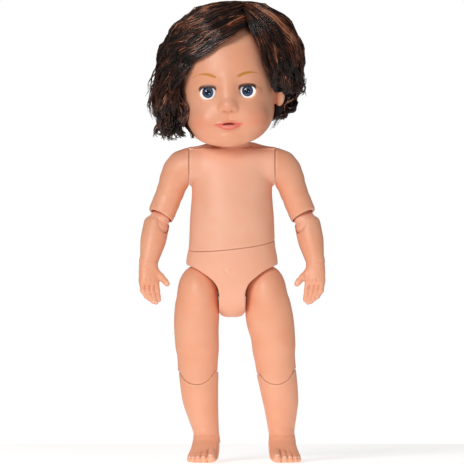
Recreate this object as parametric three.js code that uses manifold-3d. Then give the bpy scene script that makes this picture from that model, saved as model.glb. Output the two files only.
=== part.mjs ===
// A play doll about 43 cm tall: a hollow vinyl head with rooted hair and sleeping eyes, a trunk of hard
// front and back shells that turns at a slanted waist, and vinyl limbs that hang on flanged spools and
// bend at elbows and knees. Millimetres, +Z up; the doll faces -Y and its left side is at +X.
import * as THREE from "three";
import { mergeVertices } from "three/addons/utils/BufferGeometryUtils.js";
import Module from "manifold-3d";

const wasm = await Module();
wasm.setup();

// Clearances and walls
const GAP = 0.3; // between two pieces that meet
const SHELL_WALL = 2.6; // hard trunk shells
const HEAD_WALL = 3; // soft vinyl head
const FLANGE = 2.4; // thickness of every spool flange

// Heights, added up from the floor
const ANKLE_HEIGHT = 26;
const SHIN_LENGTH = 63;
const THIGH_LENGTH = 69;
const HIP_TO_WAIST = 45;
const WAIST_TO_SHOULDER = 73;
const SHOULDER_TO_NECK = 22;
const HEAD_HEIGHT = 127;

// Trunk
const SHOULDER_WIDTH = 80; // between the two flat shoulder faces
const SHOULDER_RADIUS = 17.3;
const NECK_RADIUS = 19;
const CHEST_WIDTH = 75;
const CHEST_FRONT = 26;
const BELLY_FRONT = 31;
const WAIST_WIDTH = 80.5;
const BACK_DEPTH = 25;
const HIP_WIDTH = 85.5;
const SEAT_DEPTH = 30;
const CROTCH_WIDTH = 24;
const CROTCH_DROP = 23; // below the hip axle
const LEG_OPENING_RISE = 26; // top of the leg opening above the hip axle, at the side
const WAIST_ROLL = THREE.MathUtils.degToRad(6.3); // the waist cut rises to the doll's left
const WAIST_PITCH = THREE.MathUtils.degToRad(9); // and falls to the front
const NAVEL_RADIUS = 2.6;
const NAVEL_RISE = 20; // above the hip axle
const NAVEL_SHIFT = -3.6; // towards the doll's right
const NECK_SLOPE_RADIUS = 10.5; // the muscle that rises from each shoulder to the neck
const NECK_SLOPE_RISE = 8;
const NECK_SLOPE_BACK = 6; // behind the neck axis, clear of the chin

// Spools and axles
const NECK_STEM = 7.5;
const NECK_FLANGE = 11.5;
const SHOULDER_STEM = 5;
const SHOULDER_FLANGE = 9.5;
const WAIST_STEM = 9;
const WAIST_FLANGE = 15;
const HIP_STEM = 4;
const HIP_FLANGE = 7;
const HIP_NECK_WALL = 6; // vinyl between the thigh's inner side and the axle head

// Head
const HEAD_WIDTH = 90;
const CHEEK_WIDTH = 84.5;
const FACE_DEPTH = 45; // from the neck axis to the brow
const SKULL_DEPTH = 53; // from the neck axis to the back of the head
const HEAD_TILT = THREE.MathUtils.degToRad(-2.5); // towards the doll's right shoulder
const HEAD_TURN = THREE.MathUtils.degToRad(-3);
const CHIN_DROP = 3.5; // chin below the neck face
const EYE_SPACING = 37;
const EYE_RISE = 47; // above the neck face
const EYE_RADIUS = 10.5;
const EYE_INSET = 1; // front of the eyeball behind the face
const EYE_OPENING_WIDTH = 15;
const EYE_OPENING_HEIGHT = 13;
const IRIS_RADIUS = 5.5;
const IRIS_THICKNESS = 0.9;
const LENS_DEPTH = 2.6;
const EYE_WEIGHT_RADIUS = 3.2;
const EYE_WEIGHT_LENGTH = 5;
const TRUNNION_RADIUS = 1.3;
const EYE_CUP_WALL = 1.2;
const NOSE_RISE = 33;
const NOSE_WIDTH = 16.5;
const MOUTH_RISE = 17;
const MOUTH_WIDTH = 26;
const EAR_RISE = 44;
const EAR_HEIGHT = 23;

// Hair, measured from the neck face and axis
const HAIR_TOP = 132.5;
const HAIR_HALF_WIDTH = 70;
const HAIR_FRONT = 51;
const HAIR_BACK = 69;
const HAIR_CROWN_FOOT = 46; // the smooth crown ends here and the curls begin
const HAIR_TIP = 2; // lowest curl above the neck face
const HAIR_INNER = 34; // the side curls stay outside this half width
const HAIR_CURL_FRONT = 20; // and behind this depth in front of the neck axis
const HAIR_SPLIT = 26; // side curls in front of this depth behind the neck axis, nape curls behind it
const HAIR_LEAN = 8; // the curls lean this far to the doll's right
const CURLS = 15; // locks round the head
const CURL_DEPTH = 0.045; // depth of the flutes between locks, as a share of the radius

// Arms
const ARM_SPLAY = THREE.MathUtils.degToRad(29);
const UPPER_ARM_LENGTH = 62.5; // shoulder face to elbow pin
const UPPER_ARM_WIDTH = 25;
const UPPER_ARM_BOW = 4.2; // the arm swells outwards from the straight line to the elbow
const ELBOW_SWIVEL = THREE.MathUtils.degToRad(45); // turned inwards at rest
const ELBOW_BEND = THREE.MathUtils.degToRad(24); // bent at rest
const ELBOW_WIDTH = 24.8;
const ELBOW_DEPTH = 24;
const ELBOW_DISC_WIDTH = 19.2;
const ELBOW_DISC_RADIUS = 14;
const ELBOW_CHEEK_RISE = 3.5;
const ELBOW_RIM_RISE = 9; // mouth of the upper arm above the elbow pin
const ELBOW_RIM_SLANT = THREE.MathUtils.degToRad(14); // the mouth is cut higher in front
const ELBOW_SOCKET_RADIUS = 10.2;
const ELBOW_STEM = 4;
const ELBOW_FLANGE = 7;
const ARM_WEB = 3; // vinyl held between two flanges, at the shoulder and above the elbow
const ELBOW_PIN_RADIUS = 2;
const FOREARM_LENGTH = 39;
const WRIST_WIDTH = 17.4;
const WRIST_DEPTH = 15;
const HAND_TILT = THREE.MathUtils.degToRad(13); // back towards upright at the wrist
const PALM_WIDTH = 18.5;
const PALM_THICKNESS = 11;
const PALM_LENGTH = 21;
const FINGER_RADIUS = 2.6;
const FINGER_LENGTH = 15;
const THUMB_RADIUS = 2.9;

// Legs
const HIP_SPACING = 64; // between the two hip balls
const HIP_BALL_WIDTH = 38; // the hip ball is a thick disc about the axle
const HIP_BALL_RADIUS = 26;
const THIGH_BOW = 1.4; // the thigh swells outwards from the straight line to the knee
const HIP_SOCKET_PLAY = 1.6; // open slit round the hip ball
const SITTING_ANGLE = THREE.MathUtils.degToRad(82); // the thighs can rise this far
const THIGH_WIDTH = 41.6;
const THIGH_DEPTH = 40;
const KNEE_WIDTH = 36.8;
const KNEE_DEPTH = 34;
const KNEE_DISC_WIDTH = 34.4;
const KNEE_DISC_RADIUS = 23.2;
const KNEE_EAR_CLEARANCE = 9; // the thigh stays inside the knee disc up to this height above the pin
const KNEE_EAR_RADIUS = 8.6; // round top of the shin's sides, about the pin
const KNEE_BLADE = 8;
const KNEE_BLADE_DEPTH = 12;
const KNEE_BLADE_ROOT = 10; // length held in the shin
const KNEE_PIN_RADIUS = 2.5;
const KNEE_PIN_LENGTH = 24;
const CALF_WIDTH = 33;
const ANKLE_WIDTH = 24;
const ANKLE_DEPTH = 26;
const FOOT_LENGTH = 56;
const FOOT_WIDTH = 28.5;
const HEEL_LENGTH = 17; // behind the ankle
const TOE_OUT = THREE.MathUtils.degToRad(8);
const SOLE_CUT = 0.6; // rounded underside taken off to stand flat
// Sideways places of the knees and ankles in the standing pose, doll's right and left
const STANCE = {
  right: { knee: -32, ankle: -24 },
  left: { knee: 41, ankle: 46.5 },
};

// Fineness
const BODY_SIDES = 18;
const LIMB_SIDES = 16;
const FINGER_SIDES = 6;
const ROUND_SIDES = 12;
const DISC_SIDES = 18;

const KNEE_Z = ANKLE_HEIGHT + SHIN_LENGTH;
const HIP_Z = KNEE_Z + THIGH_LENGTH;
const WAIST_Z = HIP_Z + HIP_TO_WAIST;
const SHOULDER_Z = WAIST_Z + WAIST_TO_SHOULDER;
const NECK_Z = SHOULDER_Z + SHOULDER_TO_NECK;
const FAR = 400; // a box of this size reaches past the whole doll

const X = new THREE.Vector3(1, 0, 0);
const Y = new THREE.Vector3(0, 1, 0);
const Z = new THREE.Vector3(0, 0, 1);

function plastic(color, roughness) {
  return new THREE.MeshStandardMaterial({ color, roughness, metalness: 0 });
}
const skin = plastic(0xeeb08f, 0.45);
const hardSkin = plastic(0xefb292, 0.5);
const hairFibre = plastic(0x38221a, 0.4);
const eyeWhite = plastic(0xf4f2ee, 0.15);
const irisBlue = plastic(0x3f6a96, 0.25);
const clearLens = plastic(0xe6eef4, 0.05);
const innerPlastic = plastic(0xd8d2c6, 0.5);
const steel = new THREE.MeshStandardMaterial({ color: 0x9a9da0, roughness: 0.35, metalness: 1 });

// Solids from geometry and back

function signedVolume(points, faces) {
  const [a, b, c] = [new THREE.Vector3(), new THREE.Vector3(), new THREE.Vector3()];
  let volume = 0;
  for (let i = 0; i < faces.length; i += 3) {
    a.fromArray(points, faces[i] * 3);
    b.fromArray(points, faces[i + 1] * 3);
    c.fromArray(points, faces[i + 2] * 3);
    volume += a.dot(b.cross(c)) / 6;
  }
  return volume;
}

function solid(geometry) {
  const bare = geometry.clone();
  for (const name of Object.keys(bare.attributes)) {
    if (name !== "position") bare.deleteAttribute(name);
  }
  const merged = mergeVertices(bare, 1e-4);
  const points = new Float32Array(merged.attributes.position.array);
  const faces = [];
  for (let i = 0; i < merged.index.count; i += 3) {
    const [a, b, c] = [0, 1, 2].map((k) => merged.index.getX(i + k));
    if (a !== b && b !== c && c !== a) faces.push(a, b, c);
  }
  if (signedVolume(points, faces) < 0) faces.reverse();
  const triVerts = new Uint32Array(faces);
  return new wasm.Manifold(new wasm.Mesh({ numProp: 3, vertProperties: points, triVerts }));
}

function geometryOf(shape) {
  const mesh = shape.getMesh();
  const geometry = new THREE.BufferGeometry();
  geometry.setAttribute("position", new THREE.BufferAttribute(mesh.vertProperties, 3));
  geometry.setIndex(new THREE.BufferAttribute(mesh.triVerts, 1));
  geometry.computeVertexNormals();
  return geometry;
}

function join(...shapes) {
  return shapes.reduce((whole, shape) => whole.add(shape));
}

function cut(shape, ...tools) {
  return tools.reduce((whole, tool) => whole.subtract(tool), shape);
}

function piece(group, name, material, shape) {
  const mesh = new THREE.Mesh(geometryOf(shape), material);
  mesh.name = name;
  group.add(mesh);
}

function groupAt(parent, name, x, y, z) {
  const group = new THREE.Group();
  group.name = name;
  group.position.set(x, y, z);
  parent.add(group);
  return group;
}

// Basic forms

function box(low, high) {
  const geometry = new THREE.BoxGeometry(high[0] - low[0], high[1] - low[1], high[2] - low[2]);
  return geometry.translate((low[0] + high[0]) / 2, (low[1] + high[1]) / 2, (low[2] + high[2]) / 2);
}

function rod(axis, radius, from, to, sides = ROUND_SIDES) {
  const geometry = new THREE.CylinderGeometry(radius, radius, to - from, sides);
  geometry.translate(0, (from + to) / 2, 0);
  if (axis === X) geometry.rotateZ(-Math.PI / 2);
  if (axis === Z) geometry.rotateX(Math.PI / 2);
  return geometry;
}

// A hole that a rod of this radius turns in, widened so that its flats clear the rod's corners.
function bore(axis, radius, from, to) {
  return rod(axis, (radius + GAP) / Math.cos(Math.PI / ROUND_SIDES), from, to);
}

function ellipsoid(halfX, halfY, halfZ, sides = ROUND_SIDES) {
  return new THREE.SphereGeometry(1, sides, Math.round(sides * 0.6)).scale(halfX, halfY, halfZ);
}

// A thick disc turned about X, the swept form of a hinge. With clearance it is the hollow round that disc,
// widened so that its flats stay clear of the disc's corners as it turns.
function hingeDisc(halfWidth, radius, { clearance = 0, steps = 7 } = {}) {
  const round = clearance ? (radius + clearance) / Math.cos(Math.PI / DISC_SIDES) : radius;
  const profile = Array.from({ length: steps + 1 }, (_, i) => {
    const angle = (i / steps - 0.5) * Math.PI;
    return new THREE.Vector2(round * Math.max(Math.cos(angle), 0), (halfWidth + clearance) * Math.sin(angle));
  });
  return new THREE.LatheGeometry(profile, DISC_SIDES).rotateZ(Math.PI / 2);
}

// Two flanges on a stem, along Z. The stem spans from low to high.
function spool(stemRadius, flangeRadius, low, high) {
  const profile = [
    [0, low - FLANGE],
    [flangeRadius, low - FLANGE],
    [flangeRadius, low],
    [stemRadius, low],
    [stemRadius, high],
    [flangeRadius, high],
    [flangeRadius, high + FLANGE],
    [0, high + FLANGE],
  ].map(([radius, height]) => new THREE.Vector2(radius, height));
  return new THREE.LatheGeometry(profile, ROUND_SIDES).rotateX(Math.PI / 2);
}

// Lofts: closed skins over rings of points

function loft(rings) {
  const count = rings[0].length;
  const points = rings.flat();
  const faces = [];
  for (let r = 0; r + 1 < rings.length; r++) {
    for (let i = 0; i < count; i++) {
      const a = r * count + i;
      const b = r * count + ((i + 1) % count);
      faces.push(a, b, b + count, a, b + count, a + count);
    }
  }
  const last = (rings.length - 1) * count;
  const middle = (ring) => ring.reduce((sum, p) => sum.add(p), new THREE.Vector3()).divideScalar(count);
  const foot = points.push(middle(rings[0])) - 1;
  const head = points.push(middle(rings[rings.length - 1])) - 1;
  for (let i = 0; i < count; i++) {
    const next = (i + 1) % count;
    faces.push(foot, next, i, head, last + i, last + next);
  }
  const geometry = new THREE.BufferGeometry().setFromPoints(points);
  return geometry.setIndex(faces);
}

const signedPower = (value, power) => Math.sign(value) * Math.abs(value) ** power;

// One superellipse ring with its own front and back depth. Power 2 is an ellipse, more is squarer.
function oval({ centre, across = X, depth = Y, half, front, back = front, power = 2, sides = LIMB_SIDES }) {
  return Array.from({ length: sides }, (_, i) => {
    const angle = (i / sides) * 2 * Math.PI;
    const u = signedPower(Math.cos(angle), 2 / power) * half;
    const v = signedPower(Math.sin(angle), 2 / power);
    const point = centre.clone().addScaledVector(across, u);
    return point.addScaledVector(depth, v * (v < 0 ? front : back));
  });
}

// Key stations along Z, splined into a finer list. Each has z, half, front, back and a centre x and y.
function stationCurve(stations) {
  const full = stations.map((s) => ({ back: s.front, x: 0, y: 0, ...s }));
  const rows = full.flatMap((s) => [s.half, s.front, s.back, s.x, s.y]);
  const spline = new THREE.CubicInterpolant(full.map((s) => s.z), rows, 5);
  return (z) => {
    const [half, front, back, x, y] = spline.evaluate(z);
    return { z, half, front, back, x, y };
  };
}

function stationHeights(stations, steps) {
  const heights = [stations[0].z];
  for (let i = 1; i < stations.length; i++) {
    for (let k = 1; k <= steps; k++) {
      heights.push(THREE.MathUtils.lerp(stations[i - 1].z, stations[i].z, k / steps));
    }
  }
  return heights;
}

function limb(stations, { steps = 2, sides = LIMB_SIDES, power = 2, grow = 0 } = {}) {
  const curve = stationCurve(stations);
  const rings = stationHeights(stations, steps).map((height) => {
    const { half, front, back, x, y } = curve(height);
    const centre = new THREE.Vector3(x, y, height);
    return oval({ centre, half: half + grow, front: front + grow, back: back + grow, power, sides });
  });
  return loft(rings);
}

// A round-ended tube along a curve whose radius runs from one end's to the other's.
function tube(curve, from, to, { steps = 5, sides = FINGER_SIDES } = {}) {
  const cap = from / curve.getLength() / 2;
  const spots = [
    [0, 0.3],
    [cap * 0.35, 0.75],
    ...Array.from({ length: steps + 1 }, (_, i) => [cap + (i / steps) * (1 - 2 * cap), 1]),
    [1 - cap * 0.35, 0.75],
    [1, 0.3],
  ];
  const rings = spots.map(([t, share]) => {
    const along = curve.getTangentAt(t);
    const side = new THREE.Vector3().crossVectors(Math.abs(along.y) > 0.9 ? X : Y, along).normalize();
    const other = new THREE.Vector3().crossVectors(along, side);
    const radius = THREE.MathUtils.lerp(from, to, t) * share;
    return oval({ centre: curve.getPointAt(t), across: side, depth: other, half: radius, front: radius, sides });
  });
  return loft(rings);
}

function curveThrough(...points) {
  return new THREE.CatmullRomCurve3(points.map((p) => new THREE.Vector3(...p)));
}

// Trunk

function trunkStations() {
  const half = (width) => width / 2;
  return [
    { z: HIP_Z - CROTCH_DROP, half: half(CROTCH_WIDTH) * 0.45, front: 6, back: 7 },
    { z: HIP_Z - CROTCH_DROP + 3.5, half: half(CROTCH_WIDTH) * 0.96, front: 15, back: 17 },
    { z: HIP_Z - CROTCH_DROP * 0.45, half: half(HIP_WIDTH) * 0.72, front: 23, back: SEAT_DEPTH - 3 },
    { z: HIP_Z + 6, half: half(HIP_WIDTH) * 0.93, front: 28, back: SEAT_DEPTH },
    { z: HIP_Z + LEG_OPENING_RISE + 2, half: half(HIP_WIDTH), front: 30, back: SEAT_DEPTH - 1 },
    { z: WAIST_Z, half: half(WAIST_WIDTH), front: BELLY_FRONT, back: BACK_DEPTH + 1 },
    { z: WAIST_Z + 24, half: half(WAIST_WIDTH) - 1, front: BELLY_FRONT, back: BACK_DEPTH - 1 },
    { z: SHOULDER_Z - SHOULDER_RADIUS - 6, half: half(CHEST_WIDTH), front: CHEST_FRONT, back: BACK_DEPTH },
    { z: SHOULDER_Z - 2, half: half(CHEST_WIDTH), front: CHEST_FRONT - 3, back: BACK_DEPTH - 1 },
    { z: NECK_Z - 10, half: half(SHOULDER_WIDTH) - 4, front: CHEST_FRONT - 7, back: BACK_DEPTH - 4 },
    { z: NECK_Z - 6.5, half: NECK_RADIUS + 11, front: NECK_RADIUS - 1, back: NECK_RADIUS },
    { z: NECK_Z - 5.2, half: NECK_RADIUS - 2, front: NECK_RADIUS - 3.5, back: NECK_RADIUS - 2 },
    { z: NECK_Z, half: NECK_RADIUS - 2.5, front: NECK_RADIUS - 4, back: NECK_RADIUS - 3 },
  ];
}

function trunkSkin(inset) {
  const stations = trunkStations();
  const body = limb(stations, { steps: 1, sides: BODY_SIDES, power: 2.3, grow: -inset });
  const reach = SHOULDER_WIDTH / 2 - inset;
  const shoulders = rod(X, SHOULDER_RADIUS + 0.7 - inset, -reach, reach, BODY_SIDES);
  return join(solid(body), solid(shoulders.translate(0, 0, SHOULDER_Z)));
}

// The slope from the shoulder up to the neck, for the doll's left or right.
function neckSlope(side) {
  const foot = new THREE.Vector3(side * (SHOULDER_WIDTH / 2 - 2), NECK_SLOPE_BACK, SHOULDER_Z + 6);
  const head = new THREE.Vector3(side * NECK_RADIUS, NECK_SLOPE_BACK + 1, foot.z + NECK_SLOPE_RISE);
  const ends = [NECK_SLOPE_RADIUS, NECK_SLOPE_RADIUS - 1];
  return solid(tube(new THREE.LineCurve3(foot, head), ...ends, { steps: 1, sides: 8 }));
}

// Everything above the slanted waist plane, or below it, moved along the waist axis.
function waistTurn() {
  return new THREE.Matrix4().makeRotationFromEuler(new THREE.Euler(WAIST_PITCH, -WAIST_ROLL, 0, "YXZ"));
}

function acrossWaist(geometry) {
  return solid(geometry.applyMatrix4(waistTurn()).translate(0, 0, WAIST_Z));
}

function neckAxis(geometry) {
  return solid(geometry.rotateY(HEAD_TILT).translate(0, 0, NECK_Z));
}

function buildTorso(doll) {
  const above = acrossWaist(box([-FAR, -FAR, GAP / 2], [FAR, FAR, FAR]));
  const aboveFloor = acrossWaist(box([-FAR, -FAR, SHELL_WALL], [FAR, FAR, FAR]));
  const belowNeck = neckAxis(box([-FAR, -FAR, -FAR], [FAR, FAR, -SHELL_WALL]));
  const seat = neckAxis(rod(Z, NECK_RADIUS + 3, 0, FAR, BODY_SIDES));
  const cavity = trunkSkin(SHELL_WALL).intersect(aboveFloor).intersect(belowNeck);
  const shell = cut(
    join(trunkSkin(0), neckSlope(1), neckSlope(-1)).intersect(above),
    cavity,
    seat,
    neckAxis(bore(Z, NECK_STEM, -FAR / 8, FAR / 8)),
    acrossWaist(bore(Z, WAIST_STEM, -FAR / 16, FAR / 16)),
    solid(bore(X, SHOULDER_STEM, -FAR, FAR).translate(0, 0, SHOULDER_Z)),
  );
  const frontHalf = solid(box([-FAR, -FAR, -FAR], [FAR, -GAP / 2, FAR * 2]));
  const backHalf = solid(box([-FAR, GAP / 2, -FAR], [FAR, FAR, FAR * 2]));
  piece(doll, "torso_front", hardSkin, shell.intersect(frontHalf));
  piece(doll, "torso_back", hardSkin, shell.intersect(backHalf));
}

// The high-cut leg opening of the pelvis, seen from the front, for the doll's left or right.
function legOpening(side) {
  const inner = CROTCH_WIDTH / 2;
  const rise = HIP_Z + LEG_OPENING_RISE;
  const shape = new THREE.Shape();
  shape.moveTo(side * HIP_WIDTH, rise + 9);
  shape.lineTo(side * (HIP_WIDTH / 2), rise);
  shape.bezierCurveTo(
    side * (HIP_WIDTH * 0.3), rise - 6,
    side * inner, HIP_Z + 8,
    side * inner, HIP_Z - 5,
  );
  shape.lineTo(side * inner, HIP_Z - FAR / 4);
  shape.lineTo(side * HIP_WIDTH, HIP_Z - FAR / 4);
  const cutter = new THREE.ExtrudeGeometry(shape, { depth: FAR, bevelEnabled: false, curveSegments: 9 });
  return solid(cutter.rotateX(Math.PI / 2).translate(0, FAR / 2, 0));
}

// The room a thigh needs when it is raised to sit.
function sittingRoom(name, side) {
  const { hipX, roll, reach } = legPose(name, side);
  const thigh = limb(thighStations(reach, side), { steps: 1, grow: 2 * GAP });
  return solid(thigh.rotateY(roll).rotateX(-SITTING_ANGLE).translate(hipX, 0, HIP_Z));
}

function buildPelvis(doll) {
  const below = acrossWaist(box([-FAR, -FAR, -FAR], [FAR, FAR, -GAP / 2]));
  const chamberDepth = SHELL_WALL + FLANGE + 3 * GAP;
  const ball = (side) => solid(
    hingeDisc(HIP_BALL_WIDTH / 2, HIP_BALL_RADIUS, { clearance: HIP_SOCKET_PLAY })
      .translate((side * HIP_SPACING) / 2, 0, HIP_Z),
  );
  const ceiling = acrossWaist(box([-FAR, -FAR, -FAR], [FAR, FAR, -SHELL_WALL]));
  const hollowFloor = HIP_Z + LEG_OPENING_RISE + SHELL_WALL;
  const hollow = solid(box([-FAR, -FAR, hollowFloor], [FAR, FAR, FAR * 2]));
  const shell = cut(
    trunkSkin(0).intersect(below),
    trunkSkin(SHELL_WALL).intersect(ceiling).intersect(hollow),
    legOpening(1),
    legOpening(-1),
    ball(1),
    ball(-1),
    sittingRoom("left", 1),
    sittingRoom("right", -1),
    acrossWaist(bore(Z, WAIST_STEM, -SHELL_WALL - 2 * GAP, FAR / 8)),
    acrossWaist(bore(Z, WAIST_FLANGE, -chamberDepth, -SHELL_WALL)),
    solid(bore(X, HIP_STEM, -FAR / 8, FAR / 8).translate(0, 0, HIP_Z)),
    solid(ellipsoid(NAVEL_RADIUS, 1.2, NAVEL_RADIUS, 10).translate(NAVEL_SHIFT, navelFront(), HIP_Z + NAVEL_RISE)),
  );
  const frontHalf = solid(box([-FAR, -FAR, -FAR], [FAR, -GAP / 2, FAR * 2]));
  const backHalf = solid(box([-FAR, GAP / 2, -FAR], [FAR, FAR, FAR * 2]));
  piece(doll, "pelvis_front", hardSkin, shell.intersect(frontHalf));
  piece(doll, "pelvis_back", hardSkin, shell.intersect(backHalf));
}

function navelFront() {
  return -stationCurve(trunkStations())(HIP_Z + NAVEL_RISE).front;
}

function buildTrunkSpools(doll) {
  const throughWaist = SHELL_WALL + GAP;
  piece(doll, "waist_spool", innerPlastic, acrossWaist(spool(WAIST_STEM, WAIST_FLANGE, -throughWaist, throughWaist)));
  const neckTop = HEAD_WALL + 2 * GAP;
  piece(doll, "neck_spool", innerPlastic, neckAxis(spool(NECK_STEM, NECK_FLANGE, -SHELL_WALL - GAP, neckTop)));
  for (const [name, side] of [["left", 1], ["right", -1]]) {
    const face = SHOULDER_WIDTH / 2;
    const shape = spool(SHOULDER_STEM, SHOULDER_FLANGE, face - SHELL_WALL - GAP, face + ARM_WEB + 2 * GAP);
    shape.rotateY((side * Math.PI) / 2).translate(0, 0, SHOULDER_Z);
    piece(doll, `${name}_shoulder_spool`, innerPlastic, solid(shape));
  }
  const axleReach = HIP_SPACING / 2 - HIP_BALL_WIDTH / 2 + HIP_NECK_WALL + GAP;
  const axle = spool(HIP_STEM, HIP_FLANGE, -axleReach, axleReach).rotateY(Math.PI / 2);
  piece(doll, "hip_axle", steel, solid(axle.translate(0, 0, HIP_Z)));
}

// Head, in a frame on the neck axis with its origin on the neck face

function headStations() {
  const cheek = CHEEK_WIDTH / 2;
  const skull = HEAD_WIDTH / 2;
  return [
    { z: -CHIN_DROP, half: 8, front: 5, back: 4, y: -FACE_DEPTH + 14 },
    { z: -CHIN_DROP / 2, half: cheek * 0.38, front: 9.5, back: 6, y: -FACE_DEPTH + 14.5 },
    { z: 1.2, half: cheek * 0.54, front: 12, back: 9, y: -FACE_DEPTH + 15 },
    { z: 5, half: cheek * 0.72, front: FACE_DEPTH - 5, back: 20 },
    { z: 12, half: cheek * 0.88, front: FACE_DEPTH - 2, back: 29 },
    { z: 22, half: cheek * 0.97, front: FACE_DEPTH, back: 40 },
    { z: 34, half: cheek * 1.01, front: FACE_DEPTH, back: SKULL_DEPTH - 5 },
    { z: EYE_RISE + 2, half: skull * 0.98, front: FACE_DEPTH - 1.5, back: SKULL_DEPTH - 1 },
    { z: EYE_RISE + 20, half: skull, front: FACE_DEPTH, back: SKULL_DEPTH },
    { z: HEAD_HEIGHT - 38, half: skull * 0.95, front: FACE_DEPTH - 3, back: SKULL_DEPTH - 2 },
    { z: HEAD_HEIGHT - 20, half: skull * 0.78, front: FACE_DEPTH - 12, back: SKULL_DEPTH - 11 },
    { z: HEAD_HEIGHT - 7, half: skull * 0.5, front: FACE_DEPTH - 26, back: SKULL_DEPTH - 26 },
    { z: HEAD_HEIGHT, half: skull * 0.14, front: 6, back: 7 },
  ];
}
const HEAD_POWER = 2.15;

// Where the face's surface lies at a sideways place and height.
function faceFront(x, z) {
  const { half, front, y } = stationCurve(headStations())(z);
  return y - front * (1 - Math.abs(x / half) ** HEAD_POWER) ** (1 / HEAD_POWER);
}

function earAt(side, grow) {
  const half = EAR_HEIGHT / 2 + grow;
  const ear = ellipsoid(4 + grow, 6.5 + grow, half, 10).rotateZ(side * 0.35);
  return solid(ear.translate(side * (HEAD_WIDTH / 2 + 1.5), 3, EAR_RISE));
}

function headSkin(grow) {
  const skull = solid(limb(headStations(), { steps: 1, sides: BODY_SIDES + 2, power: HEAD_POWER, grow }));
  const neck = solid(rod(Z, NECK_RADIUS - 1 + grow, GAP - grow, 26, BODY_SIDES));
  return join(skull, neck, earAt(1, grow), earAt(-1, grow));
}

function faceFeatures() {
  const tip = faceFront(0, NOSE_RISE);
  const lip = faceFront(0, MOUTH_RISE);
  const wing = NOSE_WIDTH / 2 - 3.4;
  return [
    ellipsoid(5, 6.5, 4.6, 10).translate(0, tip + 1.5, NOSE_RISE),
    ellipsoid(3, 5, 9, 8).rotateX(-0.25).translate(0, tip + 2.5, NOSE_RISE + 8),
    ellipsoid(3.4, 4.5, 3, 7).translate(wing, tip + 1.8, NOSE_RISE - 1.6),
    ellipsoid(3.4, 4.5, 3, 7).translate(-wing, tip + 1.8, NOSE_RISE - 1.6),
    ellipsoid(MOUTH_WIDTH / 2 - 4, 3.8, 2, 10).translate(0, lip + 1.6, MOUTH_RISE + 2),
    ellipsoid(MOUTH_WIDTH / 2 - 5, 4.2, 2.4, 10).translate(0, lip + 1.8, MOUTH_RISE - 2.2),
    ellipsoid(9, 7, 6, 10).translate(0, faceFront(0, 6) + 5.5, 5),
  ].map(solid);
}

function headCavity(inset) {
  const hollow = limb(headStations(), { steps: 1, sides: BODY_SIDES - 6, power: HEAD_POWER, grow: -inset });
  const floor = solid(box([-FAR, -FAR, inset + GAP], [FAR, FAR, FAR]));
  const well = solid(rod(Z, NECK_FLANGE + inset - HEAD_WALL + 1.2, inset + GAP, 30));
  return join(solid(hollow).intersect(floor), well);
}

function eyeCentre(side) {
  const x = (side * EYE_SPACING) / 2;
  return [x, faceFront(x, EYE_RISE) + EYE_INSET + EYE_RADIUS, EYE_RISE];
}

// A rod through an eye from front to back.
function eyeBore(radius, from, to, centre) {
  return solid(rod(Y, radius, from, to).translate(...centre));
}

function buildHeadShell(head) {
  const openings = [1, -1].flatMap((side) => {
    const centre = eyeCentre(side);
    const slot = rod(Y, 1, -EYE_RADIUS - 30, 0, 16).scale(EYE_OPENING_WIDTH / 2, 1, EYE_OPENING_HEIGHT / 2);
    const room = (EYE_RADIUS + GAP) / Math.cos(Math.PI / ROUND_SIDES);
    const bearing = EYE_RADIUS + 3 * GAP + EYE_CUP_WALL;
    const trunnionRoom = rod(X, TRUNNION_RADIUS + GAP, -bearing, bearing, 12);
    const forms = [slot, ellipsoid(room, room, room), trunnionRoom];
    return forms.map((form) => solid(form.translate(...centre)));
  });
  const dishes = [1, -1].map((side) => solid(
    ellipsoid(2.4, 4, EAR_HEIGHT / 2 - 4, 8).translate(side * (HEAD_WIDTH / 2 + 5.4), 1.5, EAR_RISE),
  ));
  const neckHole = solid(bore(Z, NECK_STEM, -FAR / 8, HEAD_WALL * 3));
  const shell = cut(join(headSkin(0), ...faceFeatures()), headCavity(HEAD_WALL), neckHole, ...openings, ...dishes);
  piece(head, "head_shell", skin, shell);
}

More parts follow.
